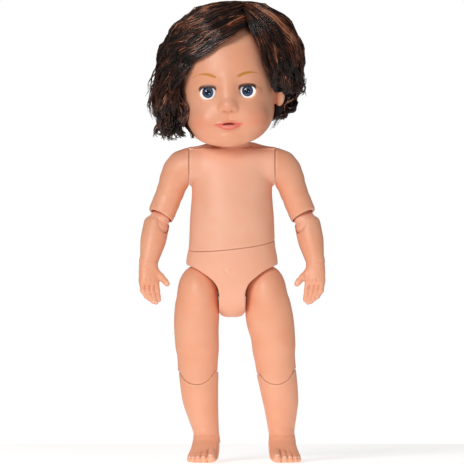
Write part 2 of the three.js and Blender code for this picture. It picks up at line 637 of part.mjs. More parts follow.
function buildEye(head, name, side) {
  const centre = eyeCentre(side);
  const [x, y, z] = centre;
  const eye = groupAt(head, `${name}_eye`, x, y, z);
  const here = [0, 0, 0];
  const ball = (radius) => solid(ellipsoid(radius, radius, radius, 13));
  const pocketFloor = -EYE_RADIUS + LENS_DEPTH + IRIS_THICKNESS;
  const trunnionTip = EYE_RADIUS + 2 * GAP + EYE_CUP_WALL;
  const slugFoot = -EYE_RADIUS + 1.2;
  const slugHead = slugFoot + EYE_WEIGHT_LENGTH;
  const trunnions = solid(rod(X, TRUNNION_RADIUS, -trunnionTip, trunnionTip, 12));
  const eyeball = cut(
    join(ball(EYE_RADIUS), trunnions),
    eyeBore(IRIS_RADIUS, -FAR / 8, pocketFloor, here),
    solid(rod(Z, EYE_WEIGHT_RADIUS + GAP, -FAR / 8, slugHead + GAP)),
  );
  piece(eye, `${name}_eyeball`, eyeWhite, eyeball);
  const irisFront = pocketFloor - GAP - IRIS_THICKNESS;
  piece(eye, `${name}_iris`, irisBlue, eyeBore(IRIS_RADIUS - GAP, irisFront, pocketFloor - GAP, here));
  const lens = eyeBore(IRIS_RADIUS - GAP, -FAR / 8, irisFront - GAP, here).intersect(ball(EYE_RADIUS - 0.05));
  piece(eye, `${name}_eye_lens`, clearLens, lens);
  piece(eye, `${name}_eye_weight`, steel, solid(rod(Z, EYE_WEIGHT_RADIUS, slugFoot, slugHead)));

  const inside = EYE_RADIUS + 2 * GAP;
  const cupShell = cut(ball(inside + EYE_CUP_WALL), ball(inside));
  const bearing = solid(rod(X, TRUNNION_RADIUS + GAP, -FAR / 8, FAR / 8, 12));
  const cavity = solid(geometryOf(headCavity(HEAD_WALL + GAP)).translate(-x, -y, -z));
  const cup = cut(cupShell.intersect(cavity), bearing);
  piece(groupAt(head, "", x, y, z), `${name}_eye_cup`, innerPlastic, cup);
}

// Hair, rooted in the head: a smooth crown with a swept fringe, and curls round the jaw and nape

function hairSkin() {
  const wide = HAIR_HALF_WIDTH;
  const rise = HAIR_TOP - HAIR_CROWN_FOOT;
  const stations = [
    [-0.02, 0.95, 0.88, 0.97],
    [0.19, 0.99, 0.98, 1],
    [0.34, 1, 1, 0.98],
    [0.5, 0.97, 1, 0.95],
    [0.66, 0.88, 0.95, 0.87],
    [0.82, 0.7, 0.78, 0.68],
    [0.94, 0.45, 0.5, 0.44],
    [1, 0.1, 0.12, 0.12],
  ].map(([share, half, front, back]) => ({
    z: HAIR_CROWN_FOOT + share * rise,
    half: half * wide,
    front: front * HAIR_FRONT,
    back: back * HAIR_BACK,
    x: 1.8,
  }));
  return solid(limb(stations, { steps: 1, sides: BODY_SIDES + 2, power: 2.1 }));
}

// The window for the face: the fringe sweeps down from a parting over the doll's left eye.
function faceWindow() {
  const left = HEAD_WIDTH / 2 - 1;
  const right = -HEAD_WIDTH / 2;
  const parting = HEAD_HEIGHT - 22;
  const shape = new THREE.Shape();
  shape.moveTo(left + 12, -FAR / 4);
  shape.lineTo(left + 12, EYE_RISE - 2);
  shape.lineTo(left, EYE_RISE + 2);
  shape.quadraticCurveTo(left - 9, EYE_RISE + 28, 17, parting);
  shape.quadraticCurveTo(-14, parting - 12, right + 9, EYE_RISE + 24);
  shape.quadraticCurveTo(right, EYE_RISE + 14, right, EYE_RISE - 12);
  shape.lineTo(right, -FAR / 4);
  const cutter = new THREE.ExtrudeGeometry(shape, { depth: FAR, bevelEnabled: false, curveSegments: 5 });
  const earFront = box([left - 4, -FAR, -FAR / 4], [FAR, 5, EAR_RISE + EAR_HEIGHT / 2 + 1]);
  return join(solid(cutter.rotateX(Math.PI / 2).translate(0, -8, 0)), solid(earFront));
}

// The curls below the crown: a band round the head, fluted into locks that wave as they fall.
function curlBand() {
  const drop = HAIR_CROWN_FOOT - HAIR_TIP;
  const rows = [
    [-0.02, 0.97, 0.98, -0.2],
    [0.17, 1.05, 1, 0.4],
    [0.34, 1, 0.98, 0.75],
    [0.52, 0.92, 0.95, 1],
    [0.7, 0.88, 0.91, 1],
    [0.86, 0.81, 0.86, 0.9],
    [1, 0.66, 0.76, 0.75],
  ];
  const sides = CURLS * 3;
  const rings = rows.map(([share, half, back, lean], row) => Array.from({ length: sides }, (_, i) => {
    const angle = (i / sides) * 2 * Math.PI;
    const wave = 1 + CURL_DEPTH * Math.cos(CURLS * angle + 1.1 * row);
    return new THREE.Vector3(
      half * HAIR_HALF_WIDTH * wave * Math.cos(angle) - lean * HAIR_LEAN,
      back * HAIR_BACK * wave * Math.sin(angle),
      HAIR_CROWN_FOOT - share * drop,
    );
  }));
  return solid(loft(rings));
}

function buildHair(head) {
  const scalp = headSkin(GAP);
  const window = faceWindow();
  const above = solid(box([-FAR, -FAR, HAIR_CROWN_FOOT], [FAR, FAR, FAR]));
  piece(head, "hair_crown", hairFibre, cut(hairSkin().intersect(above), scalp, window));
  const roots = HAIR_CROWN_FOOT - GAP;
  const curls = cut(curlBand(), scalp, window);
  const nape = solid(box([-FAR, HAIR_SPLIT + GAP / 2, -FAR], [FAR, FAR, roots]));
  piece(head, "hair_curls_back", hairFibre, curls.intersect(nape));
  for (const [name, side] of [["left", 1], ["right", -1]]) {
    const near = Math.min(side * HAIR_INNER, side * FAR);
    const far = Math.max(side * HAIR_INNER, side * FAR);
    const beside = solid(box([near, -HAIR_CURL_FRONT, -FAR], [far, HAIR_SPLIT - GAP / 2, roots]));
    piece(head, `hair_curls_${name}`, hairFibre, curls.intersect(beside));
  }
}

function buildHead(doll) {
  const neck = groupAt(doll, "neck", 0, 0, NECK_Z);
  neck.rotation.y = HEAD_TILT;
  const head = groupAt(neck, "head", 0, 0, 0);
  head.rotation.z = HEAD_TURN;
  buildHeadShell(head);
  buildEye(head, "left", 1);
  buildEye(head, "right", -1);
  buildHair(head);
}

// Arms, each in a frame at its shoulder face

// Elbow disc and the round limb round the elbow, along Z with the pin at the origin.
function elbowStations() {
  return [
    { z: -FOREARM_LENGTH, half: WRIST_WIDTH / 2, front: WRIST_DEPTH / 2 },
    { z: -FOREARM_LENGTH * 0.72, half: ELBOW_WIDTH * 0.42, front: ELBOW_DEPTH * 0.4 },
    { z: -FOREARM_LENGTH * 0.36, half: ELBOW_WIDTH * 0.5, front: ELBOW_DEPTH * 0.49 },
    { z: 0, half: ELBOW_WIDTH / 2, front: ELBOW_DEPTH / 2 },
    { z: ELBOW_CHEEK_RISE, half: ELBOW_WIDTH / 2 - 0.8, front: ELBOW_DEPTH / 2 - 0.8 },
  ];
}

const ELBOW_DISC_TOP = ELBOW_DISC_RADIUS * 0.88;

function upperArmSkin(side) {
  const elbowX = UPPER_ARM_LENGTH * Math.sin(ARM_SPLAY);
  const elbowZ = -UPPER_ARM_LENGTH * Math.cos(ARM_SPLAY);
  const wide = UPPER_ARM_WIDTH / 2;
  const end = ELBOW_RIM_RISE - wide * Math.tan(ELBOW_RIM_SLANT) * 1.2;
  const along = (rise, bow) => [
    elbowX - rise * Math.sin(ARM_SPLAY) + bow * UPPER_ARM_BOW,
    elbowZ + rise * Math.cos(ARM_SPLAY),
  ];
  const steep = Math.PI / 2;
  const stations = [
    [0, 0, steep, SHOULDER_RADIUS, SHOULDER_RADIUS],
    [3.2, -0.4, THREE.MathUtils.lerp(steep, ARM_SPLAY, 0.16), SHOULDER_RADIUS - 0.2, SHOULDER_RADIUS - 0.3],
    [8, -3.2, THREE.MathUtils.lerp(steep, ARM_SPLAY, 0.4), SHOULDER_RADIUS - 1.2, SHOULDER_RADIUS - 1.8],
    [13, -11.4, THREE.MathUtils.lerp(steep, ARM_SPLAY, 0.74), wide + 1.5, wide + 1.5],
    [...along(UPPER_ARM_LENGTH - 27, 1), ARM_SPLAY, wide + 0.2, wide + 0.4],
    [...along(UPPER_ARM_LENGTH / 2 - 8, 0.62), ARM_SPLAY, wide, wide],
    [...along(ELBOW_RIM_RISE + 6, 0.33), ARM_SPLAY, wide - 0.1, wide - 0.2],
    [...along(end, 0.1), ARM_SPLAY, wide - 0.2, wide - 0.3],
  ];
  const rings = stations.map(([x, z, angle, half, depth]) => oval({
    centre: new THREE.Vector3(side * x, 0, z),
    across: new THREE.Vector3(side * Math.cos(angle), 0, Math.sin(angle)),
    half,
    front: depth,
  }));
  return solid(loft(rings));
}

// Moves a shape made along Z about the elbow pin to where the upper arm holds it.
function alongArm(geometry, side) {
  const [x, z] = [UPPER_ARM_LENGTH * Math.sin(ARM_SPLAY), -UPPER_ARM_LENGTH * Math.cos(ARM_SPLAY)];
  return solid(geometry.rotateY(-side * ARM_SPLAY).translate(side * x, 0, z));
}

function buildUpperArm(arm, name, side) {
  const webFoot = ELBOW_DISC_TOP + GAP;
  const webTop = webFoot + ARM_WEB;
  const mouth = box([-FAR, -FAR, -FAR], [FAR, FAR, 0]).rotateX(-ELBOW_RIM_SLANT).translate(0, 0, ELBOW_RIM_RISE);
  const spoolRoom = side > 0
    ? bore(X, SHOULDER_FLANGE, ARM_WEB, ARM_WEB + FLANGE + 2 * GAP)
    : bore(X, SHOULDER_FLANGE, -ARM_WEB - FLANGE - 2 * GAP, -ARM_WEB);
  const shape = cut(
    upperArmSkin(side),
    alongArm(mouth, side),
    alongArm(rod(Z, ELBOW_SOCKET_RADIUS, -FAR / 8, webFoot), side),
    alongArm(bore(Z, ELBOW_STEM, 0, webTop + GAP), side),
    alongArm(bore(Z, ELBOW_FLANGE, webTop, webTop + FLANGE + 2 * GAP), side),
    solid(bore(X, SHOULDER_STEM, -ARM_WEB - GAP, ARM_WEB + GAP)),
    solid(spoolRoom),
  );
  piece(arm, `${name}_upper_arm`, skin, shape);
}

function buildElbow(arm, name, side) {
  const elbow = groupAt(arm, `${name}_elbow`,
    side * UPPER_ARM_LENGTH * Math.sin(ARM_SPLAY), 0, -UPPER_ARM_LENGTH * Math.cos(ARM_SPLAY));
  elbow.rotation.y = -side * ARM_SPLAY;
  const swivel = groupAt(elbow, `${name}_elbow_swivel`, 0, 0, 0);
  swivel.rotation.z = -side * ELBOW_SWIVEL;
  const bend = groupAt(swivel, `${name}_elbow_bend`, 0, 0, 0);
  bend.rotation.x = -ELBOW_BEND;

  // The disc is trimmed to the limb's outline at rest, where the forearm hangs bent by the rest angle.
  const disc = solid(hingeDisc(ELBOW_DISC_WIDTH / 2, ELBOW_DISC_RADIUS, { steps: 5 }));
  const shoulder = ELBOW_SOCKET_RADIUS - 2 * GAP;
  const outline = [
    [0, -ELBOW_DISC_RADIUS - 2],
    [ELBOW_DEPTH / 2, -ELBOW_DISC_RADIUS - 2],
    [ELBOW_DEPTH / 2, -1],
    [shoulder, ELBOW_CHEEK_RISE],
    [shoulder - 0.8, ELBOW_DISC_TOP],
    [0, ELBOW_DISC_TOP],
  ].map(([radius, height]) => new THREE.Vector2(radius, height));
  const trim = solid(new THREE.LatheGeometry(outline, ROUND_SIDES).rotateX(Math.PI / 2));
  const stemTop = ELBOW_DISC_TOP + ARM_WEB + 2 * GAP;
  const knuckle = cut(
    join(
      disc.intersect(trim),
      solid(rod(Z, ELBOW_STEM, 0, stemTop + 0.1)),
      solid(rod(Z, ELBOW_FLANGE, stemTop, stemTop + FLANGE)),
    ),
    solid(bore(X, ELBOW_PIN_RADIUS, -FAR / 8, FAR / 8)),
  );
  piece(swivel, `${name}_elbow_knuckle`, hardSkin, knuckle);

  const pinReach = ELBOW_WIDTH / 2 - 1;
  piece(bend, `${name}_elbow_pin`, steel, solid(rod(X, ELBOW_PIN_RADIUS, -pinReach, pinReach)));
  const forearm = cut(
    join(solid(limb(elbowStations(), { steps: 1 })), buildHand(side)),
    solid(hingeDisc(ELBOW_DISC_WIDTH / 2, ELBOW_DISC_RADIUS, { clearance: GAP, steps: 5 })),
    solid(bore(X, ELBOW_PIN_RADIUS, -pinReach - GAP, pinReach + GAP)),
  );
  piece(bend, `${name}_forearm`, skin, forearm);
}

// A hand that hangs from the wrist with its back to the front and its thumb towards the body.
function buildHand(side) {
  const inward = -side;
  const wide = PALM_WIDTH / 2;
  const thick = PALM_THICKNESS / 2;
  const palm = limb([
    { z: -PALM_LENGTH, half: wide * 0.86, front: thick * 0.62 },
    { z: -PALM_LENGTH * 0.85, half: wide * 0.98, front: thick * 0.9 },
    { z: -PALM_LENGTH * 0.45, half: wide, front: thick },
    { z: -1, half: WRIST_WIDTH / 2 - 0.6, front: WRIST_DEPTH / 2 - 1 },
    { z: 4, half: WRIST_WIDTH / 2 - 0.4, front: WRIST_DEPTH / 2 - 0.4 },
  ], { steps: 1, power: 2.3, sides: 12 });
  const fingers = [1, 0.33, -0.33, -1].map((place, i) => {
    const spread = wide - FINGER_RADIUS;
    const length = FINGER_LENGTH + [0, 2.4, 1.6, -0.8][i];
    const root = [inward * place * spread, 0.4, -PALM_LENGTH + 4];
    const tip = [inward * (place * spread * 0.72 + 4), 4.2, -PALM_LENGTH - length];
    const knuckle = [inward * (place * spread + 0.9), 0, -PALM_LENGTH - length * 0.35];
    return tube(curveThrough(root, knuckle, tip), FINGER_RADIUS, FINGER_RADIUS * 0.82, { steps: 2 });
  });
  const thumbCurve = curveThrough(
    [inward * (wide - 5), -0.5, -6],
    [inward * (wide + 3.4), -1.4, -13],
    [inward * (wide + 8), -0.6, -PALM_LENGTH],
  );
  const thumb = tube(thumbCurve, THUMB_RADIUS + 0.5, THUMB_RADIUS * 0.85, { steps: 2 });
  const turn = side * ELBOW_SWIVEL;
  const wristed = (form) => form.rotateY(side * HAND_TILT).rotateZ(turn).translate(0, 0, -FOREARM_LENGTH);
  return join(...[palm, ...fingers, thumb].map((form) => solid(wristed(form))));
}

function buildArm(doll, name, side) {
  const arm = groupAt(doll, `${name}_shoulder`, side * (SHOULDER_WIDTH / 2 + GAP), 0, SHOULDER_Z);
  buildUpperArm(arm, name, side);
  buildElbow(arm, name, side);
}

// Legs, each in a frame at its hip ball whose -Z runs down the thigh

function thighStations(length, side) {
  const tuck = KNEE_DISC_WIDTH / 2 - GAP;
  const bow = side * THIGH_BOW;
  return [
    { z: -length - KNEE_DISC_RADIUS, half: tuck, front: KNEE_DEPTH / 2 },
    { z: -length, half: tuck, front: KNEE_DEPTH / 2 },
    { z: -length + KNEE_EAR_CLEARANCE, half: KNEE_WIDTH / 2 + 0.6, front: KNEE_DEPTH / 2 + 0.3 },
    { z: -length * 0.74, half: THIGH_WIDTH / 2 - 0.5, front: THIGH_DEPTH / 2 - 1.4, x: bow * 0.4 },
    { z: -length * 0.4, half: THIGH_WIDTH / 2, front: THIGH_DEPTH / 2, x: bow },
    { z: -length * 0.16, half: THIGH_WIDTH / 2 - 1, front: THIGH_DEPTH / 2 + 1.4, x: bow },
    { z: 0, half: HIP_BALL_WIDTH / 2 - 1.5, front: THIGH_DEPTH / 2 + 2, x: bow * 0.5 },
  ];
}

// The shin hangs from the knee and leans sideways so that its ankle lands where the stance says.
function shinStations(length, lean) {
  const at = (share, half, front, back = front) => ({ z: -length * share, half, front, back, x: lean * share });
  return [
    at(1.12, ANKLE_WIDTH / 2 - 0.4, ANKLE_DEPTH / 2 - 1),
    at(1, ANKLE_WIDTH / 2, ANKLE_DEPTH / 2),
    at(0.8, CALF_WIDTH / 2 - 2.6, ANKLE_DEPTH / 2 + 0.6, ANKLE_DEPTH / 2 + 1.6),
    at(0.52, CALF_WIDTH / 2, KNEE_DEPTH / 2 - 1.6, KNEE_DEPTH / 2 + 0.6),
    at(0.3, KNEE_WIDTH / 2 - 0.8, KNEE_DEPTH / 2 - 0.4, KNEE_DEPTH / 2 + 0.3),
    at(0.1, KNEE_WIDTH / 2, KNEE_DEPTH / 2),
    at(0, KNEE_WIDTH / 2 - 0.2, KNEE_DEPTH / 2),
  ];
}

function kneeBlade(grow) {
  const reach = KNEE_DISC_RADIUS + KNEE_BLADE_ROOT;
  const eye = rod(X, KNEE_BLADE_DEPTH / 2 + grow, -KNEE_BLADE / 2 - grow, KNEE_BLADE / 2 + grow);
  const half = KNEE_BLADE / 2 + grow;
  const deep = KNEE_BLADE_DEPTH / 2 + grow;
  return join(solid(eye), solid(box([-half, -deep, -reach - grow], [half, deep, 0])));
}

// The slot that the blade sweeps in the thigh as the shin folds back.
function kneeSlot() {
  const half = KNEE_BLADE / 2 + GAP;
  const deep = KNEE_BLADE_DEPTH / 2 + GAP;
  const eye = rod(X, deep, -half, half);
  return join(solid(eye), solid(box([-half, -deep, -FAR / 8], [half, FAR / 8, 0])), solid(box([-half, 0, -1], [half, FAR / 8, deep])));
}

function buildThigh(hip, name, side, length, roll) {
  const placed = (geometry) => solid(geometry.translate(0, 0, -length));
  const moved = (shape) => placed(geometryOf(shape));
  const disc = placed(hingeDisc(KNEE_DISC_WIDTH / 2, KNEE_DISC_RADIUS));
  const upper = placed(box([-FAR, -FAR, KNEE_EAR_CLEARANCE], [FAR, FAR, FAR]));
  // The ball turns about the level axle, so it is turned back by the thigh's roll.
  const ball = solid(hingeDisc(HIP_BALL_WIDTH / 2, HIP_BALL_RADIUS).rotateY(-roll));
  const inside = HIP_BALL_WIDTH / 2 - HIP_NECK_WALL;
  const stemRoom = bore(X, HIP_STEM, inside - GAP, FAR / 8);
  const headRoom = bore(X, HIP_FLANGE, inside - FLANGE - 2 * GAP, inside);
  const level = (geometry) => solid(geometry.rotateZ(side > 0 ? Math.PI : 0).rotateY(-roll));
  const pinHalf = KNEE_PIN_LENGTH / 2 + GAP;
  const shape = cut(
    join(solid(limb(thighStations(length, side), { steps: 1 })).intersect(join(disc, upper)), ball),
    moved(kneeSlot()),
    placed(bore(X, KNEE_PIN_RADIUS, -pinHalf, pinHalf)),
    level(stemRoom),
    level(headRoom),
  );
  piece(hip, `${name}_thigh`, skin, shape);
}

function buildFoot(side) {
  const front = FOOT_LENGTH - HEEL_LENGTH;
  const inward = -side;
  const wide = FOOT_WIDTH / 2;
  const stations = [
    [HEEL_LENGTH, 0.25, 8, 0],
    [HEEL_LENGTH - 2.5, 0.58, 16, 0],
    [HEEL_LENGTH * 0.45, 0.8, 26, 0],
    [-2, 0.86, ANKLE_HEIGHT + 3, 0],
    [-front * 0.34, 0.92, ANKLE_HEIGHT * 0.8, 0.4],
    [-front * 0.6, 0.98, ANKLE_HEIGHT * 0.53, 0.8],
    [-front * 0.78, 0.96, ANKLE_HEIGHT * 0.38, 0.6],
    [-front * 0.86, 0.8, ANKLE_HEIGHT * 0.26, 0.4],
  ];
  const rings = stations.map(([y, share, height, shift]) => oval({
    centre: new THREE.Vector3(inward * shift, y, (height - SOLE_CUT) / 2),
    depth: Z,
    half: share * wide,
    front: (height + SOLE_CUT) / 2,
    power: 2.5,
    sides: 14,
  }));
  const toes = [3.7, 2.95, 2.85, 2.7, 2.5].map((radius, i) => {
    const x = inward * wide * [0.68, 0.2, -0.18, -0.52, -0.8][i];
    const tip = -front + [0, 0.6, 2.4, 5, 8.2][i];
    const curve = curveThrough([x * 0.94, tip + 13, radius + 1.6], [x, tip + 6, radius + 1.2], [x, tip, radius - SOLE_CUT]);
    return tube(curve, radius, radius * 0.95, { steps: 2 });
  });
  return join(solid(loft(rings)), ...toes.map(solid));
}

function buildShin(knee, name, side, length, lean, roll) {
  const disc = solid(hingeDisc(KNEE_DISC_WIDTH / 2, KNEE_DISC_RADIUS, { clearance: GAP }));
  const leg = solid(limb(shinStations(length, lean), { steps: 1 }));
  const top = shinStations(length, lean).at(-1);
  const ears = solid(limb([{ ...top, z: -2 }, { ...top, z: KNEE_EAR_CLEARANCE }], { steps: 1 }))
    .intersect(solid(rod(X, KNEE_EAR_RADIUS, -KNEE_WIDTH, KNEE_WIDTH)));
  // The foot stands level under the ankle, whatever the leg's roll.
  const toFloor = new THREE.Matrix4().makeRotationY(-roll);
  toFloor.multiply(new THREE.Matrix4().makeTranslation(0, 0, -ANKLE_HEIGHT));
  toFloor.multiply(new THREE.Matrix4().makeRotationZ(side * TOE_OUT));
  toFloor.premultiply(new THREE.Matrix4().makeTranslation(lean, 0, -length));
  const foot = solid(geometryOf(buildFoot(side)).applyMatrix4(toFloor));
  const floor = solid(box([-FAR, -FAR, -FAR], [FAR, FAR, 0]).applyMatrix4(toFloor));
  const shape = cut(join(leg, ears, foot), disc, kneeBlade(GAP), floor);
  piece(knee, `${name}_shin`, skin, shape);
  const blade = cut(kneeBlade(0), solid(bore(X, KNEE_PIN_RADIUS, -FAR / 8, FAR / 8)));
  piece(knee, `${name}_knee_hinge`, innerPlastic, blade);
}

// Where a hip sits, and how far its thigh leans and reaches to its knee.
function legPose(name, side) {
  const hipX = (side * HIP_SPACING) / 2;
  const lean = hipX - STANCE[name].knee;
  return { hipX, roll: Math.atan2(lean, THIGH_LENGTH), reach: Math.hypot(lean, THIGH_LENGTH) };
}

function buildLeg(doll, name, side) {
  const stance = STANCE[name];
  const { hipX, roll, reach: thighReach } = legPose(name, side);
  const hip = groupAt(doll, `${name}_hip`, hipX, 0, HIP_Z);
  hip.rotation.y = roll;
  buildThigh(hip, name, side, thighReach, roll);
  const pinHalf = KNEE_PIN_LENGTH / 2;
  const pin = rod(X, KNEE_PIN_RADIUS, -pinHalf, pinHalf).translate(0, 0, -thighReach);
  piece(hip, `${name}_knee_pin`, steel, solid(pin));
  const knee = groupAt(hip, `${name}_knee`, 0, 0, -thighReach);
  const ankle = new THREE.Vector3(stance.ankle - stance.knee, 0, -SHIN_LENGTH).applyAxisAngle(Y, -roll);
  buildShin(knee, name, side, -ankle.z, ankle.x, roll);
}

function buildDoll() {
  const doll = new THREE.Group();
  buildTorso(doll);
  buildPelvis(doll);
  buildTrunkSpools(doll);
  buildHead(doll);
  for (const [name, side] of [["left", 1], ["right", -1]]) {
    buildArm(doll, name, side);
    buildLeg(doll, name, side);
  }
  // The origin is on the floor under the middle of the doll's outer box.
  const bounds = new THREE.Box3().setFromObject(doll, true);
  const middle = bounds.getCenter(new THREE.Vector3());
  doll.position.set(-middle.x, -middle.y, 0);
  const whole = new THREE.Group();
  whole.add(doll);
  return whole;
}

export default buildDoll();
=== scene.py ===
import math

import bpy
import numpy as np
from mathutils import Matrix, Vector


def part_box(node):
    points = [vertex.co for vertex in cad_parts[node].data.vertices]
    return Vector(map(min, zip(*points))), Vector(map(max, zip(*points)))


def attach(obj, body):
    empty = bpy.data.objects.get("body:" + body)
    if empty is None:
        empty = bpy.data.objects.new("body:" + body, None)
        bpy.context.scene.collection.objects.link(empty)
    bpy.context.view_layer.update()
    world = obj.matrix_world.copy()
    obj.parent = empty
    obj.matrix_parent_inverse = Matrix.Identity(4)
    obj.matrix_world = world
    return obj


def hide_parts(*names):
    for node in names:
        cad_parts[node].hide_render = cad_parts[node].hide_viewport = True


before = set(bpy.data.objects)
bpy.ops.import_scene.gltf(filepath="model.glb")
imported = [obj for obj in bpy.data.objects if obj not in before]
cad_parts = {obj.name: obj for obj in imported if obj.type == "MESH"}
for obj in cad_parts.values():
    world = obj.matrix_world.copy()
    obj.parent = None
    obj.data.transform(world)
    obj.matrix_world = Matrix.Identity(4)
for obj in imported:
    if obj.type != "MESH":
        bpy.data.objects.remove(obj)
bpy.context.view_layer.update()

import openvdb as vdb
from mathutils import Vector

# Places and sizes shared with the CAD model, in millimetres and degrees
GAP = 0.3
SHELL_WALL = 2.6
HIP_Z = 158.0
KNEE_Z = 89.0
WAIST_Z = 203.0
SHOULDER_Z = 276.0
NECK_Z = 298.0
ANKLE_Z = 26.0
SHOULDER_FACE = 40.0
SHOULDER_RADIUS = 17.3
WAIST_PITCH = 9.0
WAIST_ROLL = 6.3
HEAD_TILT = -2.5
HEAD_TURN = -3.0
ARM_SPLAY = 29.0
UPPER_ARM_LENGTH = 62.5
ELBOW_SWIVEL = 45.0
ELBOW_BEND = 24.0
FOREARM_LENGTH = 39.0
HAND_TILT = 13.0
HIP_X = 32.0
THIGH_BOW = 1.4
TOE_OUT = 8.0
STANCE = {"right": (-32.0, -24.0), "left": (41.0, 46.5)}
SIDES = (("left", 1), ("right", -1))
EYE_X = 18.5
EYE_Z = 47.0
EYE_RADIUS = 10.5
FACE_AT_EYE = -40.3
EYE_Y = FACE_AT_EYE + 1.0 + EYE_RADIUS
EYE_ROOM = 10.9
LID_RADIUS = 12.1
CUP_ROOM = 12.7
TRUNNION_ROOM = 1.7
KNEE_DISC = (17.1, 23.1, 23.1)
KNEE_SOCKET = (17.4, 23.4, 23.4)
HIP_BALL = (18.9, 25.9, 25.9)
HIP_SOCKET = (20.6, 27.6, 27.6)
ELBOW_DISC = (9.6, 14, 14)
ELBOW_SOCKET = (9.95, 14.4, 14.4)
NECK_BORE = 7.9
WAIST_BORE = 9.5
SHOULDER_BORE = 5.5
AXLE_BORE = 4.4
KNEE_PIN_BORE = 2.9
ELBOW_PIN_BORE = 2.4
ORIGIN = (0, 0, 0)
MILLIMETRES = 1000

# Fineness of the meshed surfaces, in millimetres
BODY_VOXEL = 0.8
HEAD_VOXEL = 0.72
LIMB_VOXEL = 0.7
HAND_VOXEL = 0.5
EYE_VOXEL = 0.4


# Frames

def move(x, y, z):
    matrix = np.eye(4)
    matrix[:3, 3] = (x, y, z)
    return matrix


def turn(axis, degrees):
    c, s = math.cos(math.radians(degrees)), math.sin(math.radians(degrees))
    first, second = {"x": (1, 2), "y": (2, 0), "z": (0, 1)}[axis]
    matrix = np.eye(4)
    matrix[first, first] = matrix[second, second] = c
    matrix[first, second] = -s
    matrix[second, first] = s
    return matrix


def seen_from(matrix, place):
    """The same places in the axes of another frame."""
    back = np.linalg.inv(matrix).astype(np.float32)
    x, y, z = place
    return tuple(back[i, 0] * x + back[i, 1] * y + back[i, 2] * z + back[i, 3] for i in range(3))


hip_low, hip_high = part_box("hip_axle")
DOLL = move(0, MILLIMETRES * (hip_low.y + hip_high.y) / 2, 0)
NECK = move(0, 0, NECK_Z) @ turn("y", HEAD_TILT)
HEAD = DOLL @ move(0, 0, NECK_Z) @ turn("y", HEAD_TILT) @ turn("z", HEAD_TURN)
WAIST = move(0, 0, WAIST_Z) @ turn("y", -WAIST_ROLL) @ turn("x", WAIST_PITCH)
SPLAY = math.radians(ARM_SPLAY)
ELBOW_X = UPPER_ARM_LENGTH * math.sin(SPLAY)
ELBOW_Z = -UPPER_ARM_LENGTH * math.cos(SPLAY)


def shoulder_frame(side):
    return DOLL @ move(side * (SHOULDER_FACE + GAP), 0, SHOULDER_Z)


def elbow_in_arm(side):
    return move(side * ELBOW_X, 0, ELBOW_Z) @ turn("y", -side * ARM_SPLAY)


def hip_frame(side):
    return move(side * HIP_X, 0, HIP_Z)


def leg_pose(name, side):
    """Roll of the thigh in degrees, its length to the knee, and where the ankle lies below the knee."""
    knee_x, ankle_x = STANCE[name]
    lean = side * HIP_X - knee_x
    roll = math.degrees(math.atan2(lean, HIP_Z - KNEE_Z))
    ankle = turn("y", -roll)[:3, :3] @ np.array([ankle_x - knee_x, 0, ANKLE_Z - KNEE_Z])
    return roll, math.hypot(lean, HIP_Z - KNEE_Z), ankle


# Distance fields: negative inside, in millimetres

def smooth_join(a, b, k):
    h = np.clip(0.5 + 0.5 * (b - a) / k, 0, 1)
    return b + (a - b) * h - k * h * (1 - h)


def smooth_keep(a, b, k):
    return -smooth_join(-a, -b, k)


def smooth_cut(a, b, k):
    return -smooth_join(-a, b, k)


def pierced(field, *tools):
    """The field with sharp-edged tools taken out of it."""
    for tool in tools:
        field = np.maximum(field, -tool)
    return field


def egg(place, centre, radii):
    """An ellipsoid."""
    x, y, z = [(p - c) / r for p, c, r in zip(place, centre, radii)]
    near = np.sqrt(x * x + y * y + z * z)
    steep = np.sqrt((x / radii[0]) ** 2 + (y / radii[1]) ** 2 + (z / radii[2]) ** 2)
    return near * (near - 1) / np.maximum(steep, 1e-4)


def cone(place, start, end, start_radius, end_radius):
    """A round-ended limb between two points."""
    along = np.subtract(end, start)
    offset = [p - s for p, s in zip(place, start)]
    share = sum(o * a for o, a in zip(offset, along)) / float(along @ along)
    share = np.clip(share, 0, 1)
    gap = sum((o - a * share) ** 2 for o, a in zip(offset, along))
    return np.sqrt(gap) - (start_radius + (end_radius - start_radius) * share)


def chain(place, points, radii, k=1.2):
    """Round-ended limbs joined end to end."""
    result = None
    for i in range(len(points) - 1):
        part = cone(place, points[i], points[i + 1], radii[i], radii[i + 1])
        result = part if result is None else smooth_join(result, part, k)
    return result


def rod(place, axis, radius, low, high):
    """A cylinder along one axis through the frame's origin."""
    along = place["xyz".index(axis)]
    u, v = [p for p, name in zip(place, "xyz") if name != axis]
    return np.maximum(np.sqrt(u * u + v * v) - radius, np.maximum(low - along, along - high))


def dent(amount, distance, width):
    """A shallow groove where a distance is zero, to add to a field."""
    return amount * np.exp(-((distance / width) ** 2))


def step(value, low, high):
    t = np.clip((value - low) / (high - low), 0, 1)
    return t * t * (3 - 2 * t)


def smooth_table(knots, values, at):
    """A curve through the knots that doesn't overshoot them."""
    h = np.diff(knots)[:, None]
    rise = np.diff(values, axis=0) / h
    slope = np.zeros_like(values)
    slope[0], slope[-1] = rise[0], rise[-1]
    before, after = 2 * h[1:] + h[:-1], h[1:] + 2 * h[:-1]
    same = rise[:-1] * rise[1:] > 0
    safe = np.where(same, rise[:-1] * rise[1:], 1)
    mean = (before + after) * safe / (before * rise[1:] + after * rise[:-1] + (~same))
    slope[1:-1] = np.where(same, mean, 0)
    i = np.clip(np.searchsorted(knots, at) - 1, 0, len(h) - 1)
    t = ((at - knots[i]) / h[i, 0])[:, None]
    start = (2 * t**3 - 3 * t**2 + 1) * values[i] + (t**3 - 2 * t**2 + t) * h[i] * slope[i]
    return start + (3 * t**2 - 2 * t**3) * values[i + 1] + (t**3 - t**2) * h[i] * slope[i + 1]


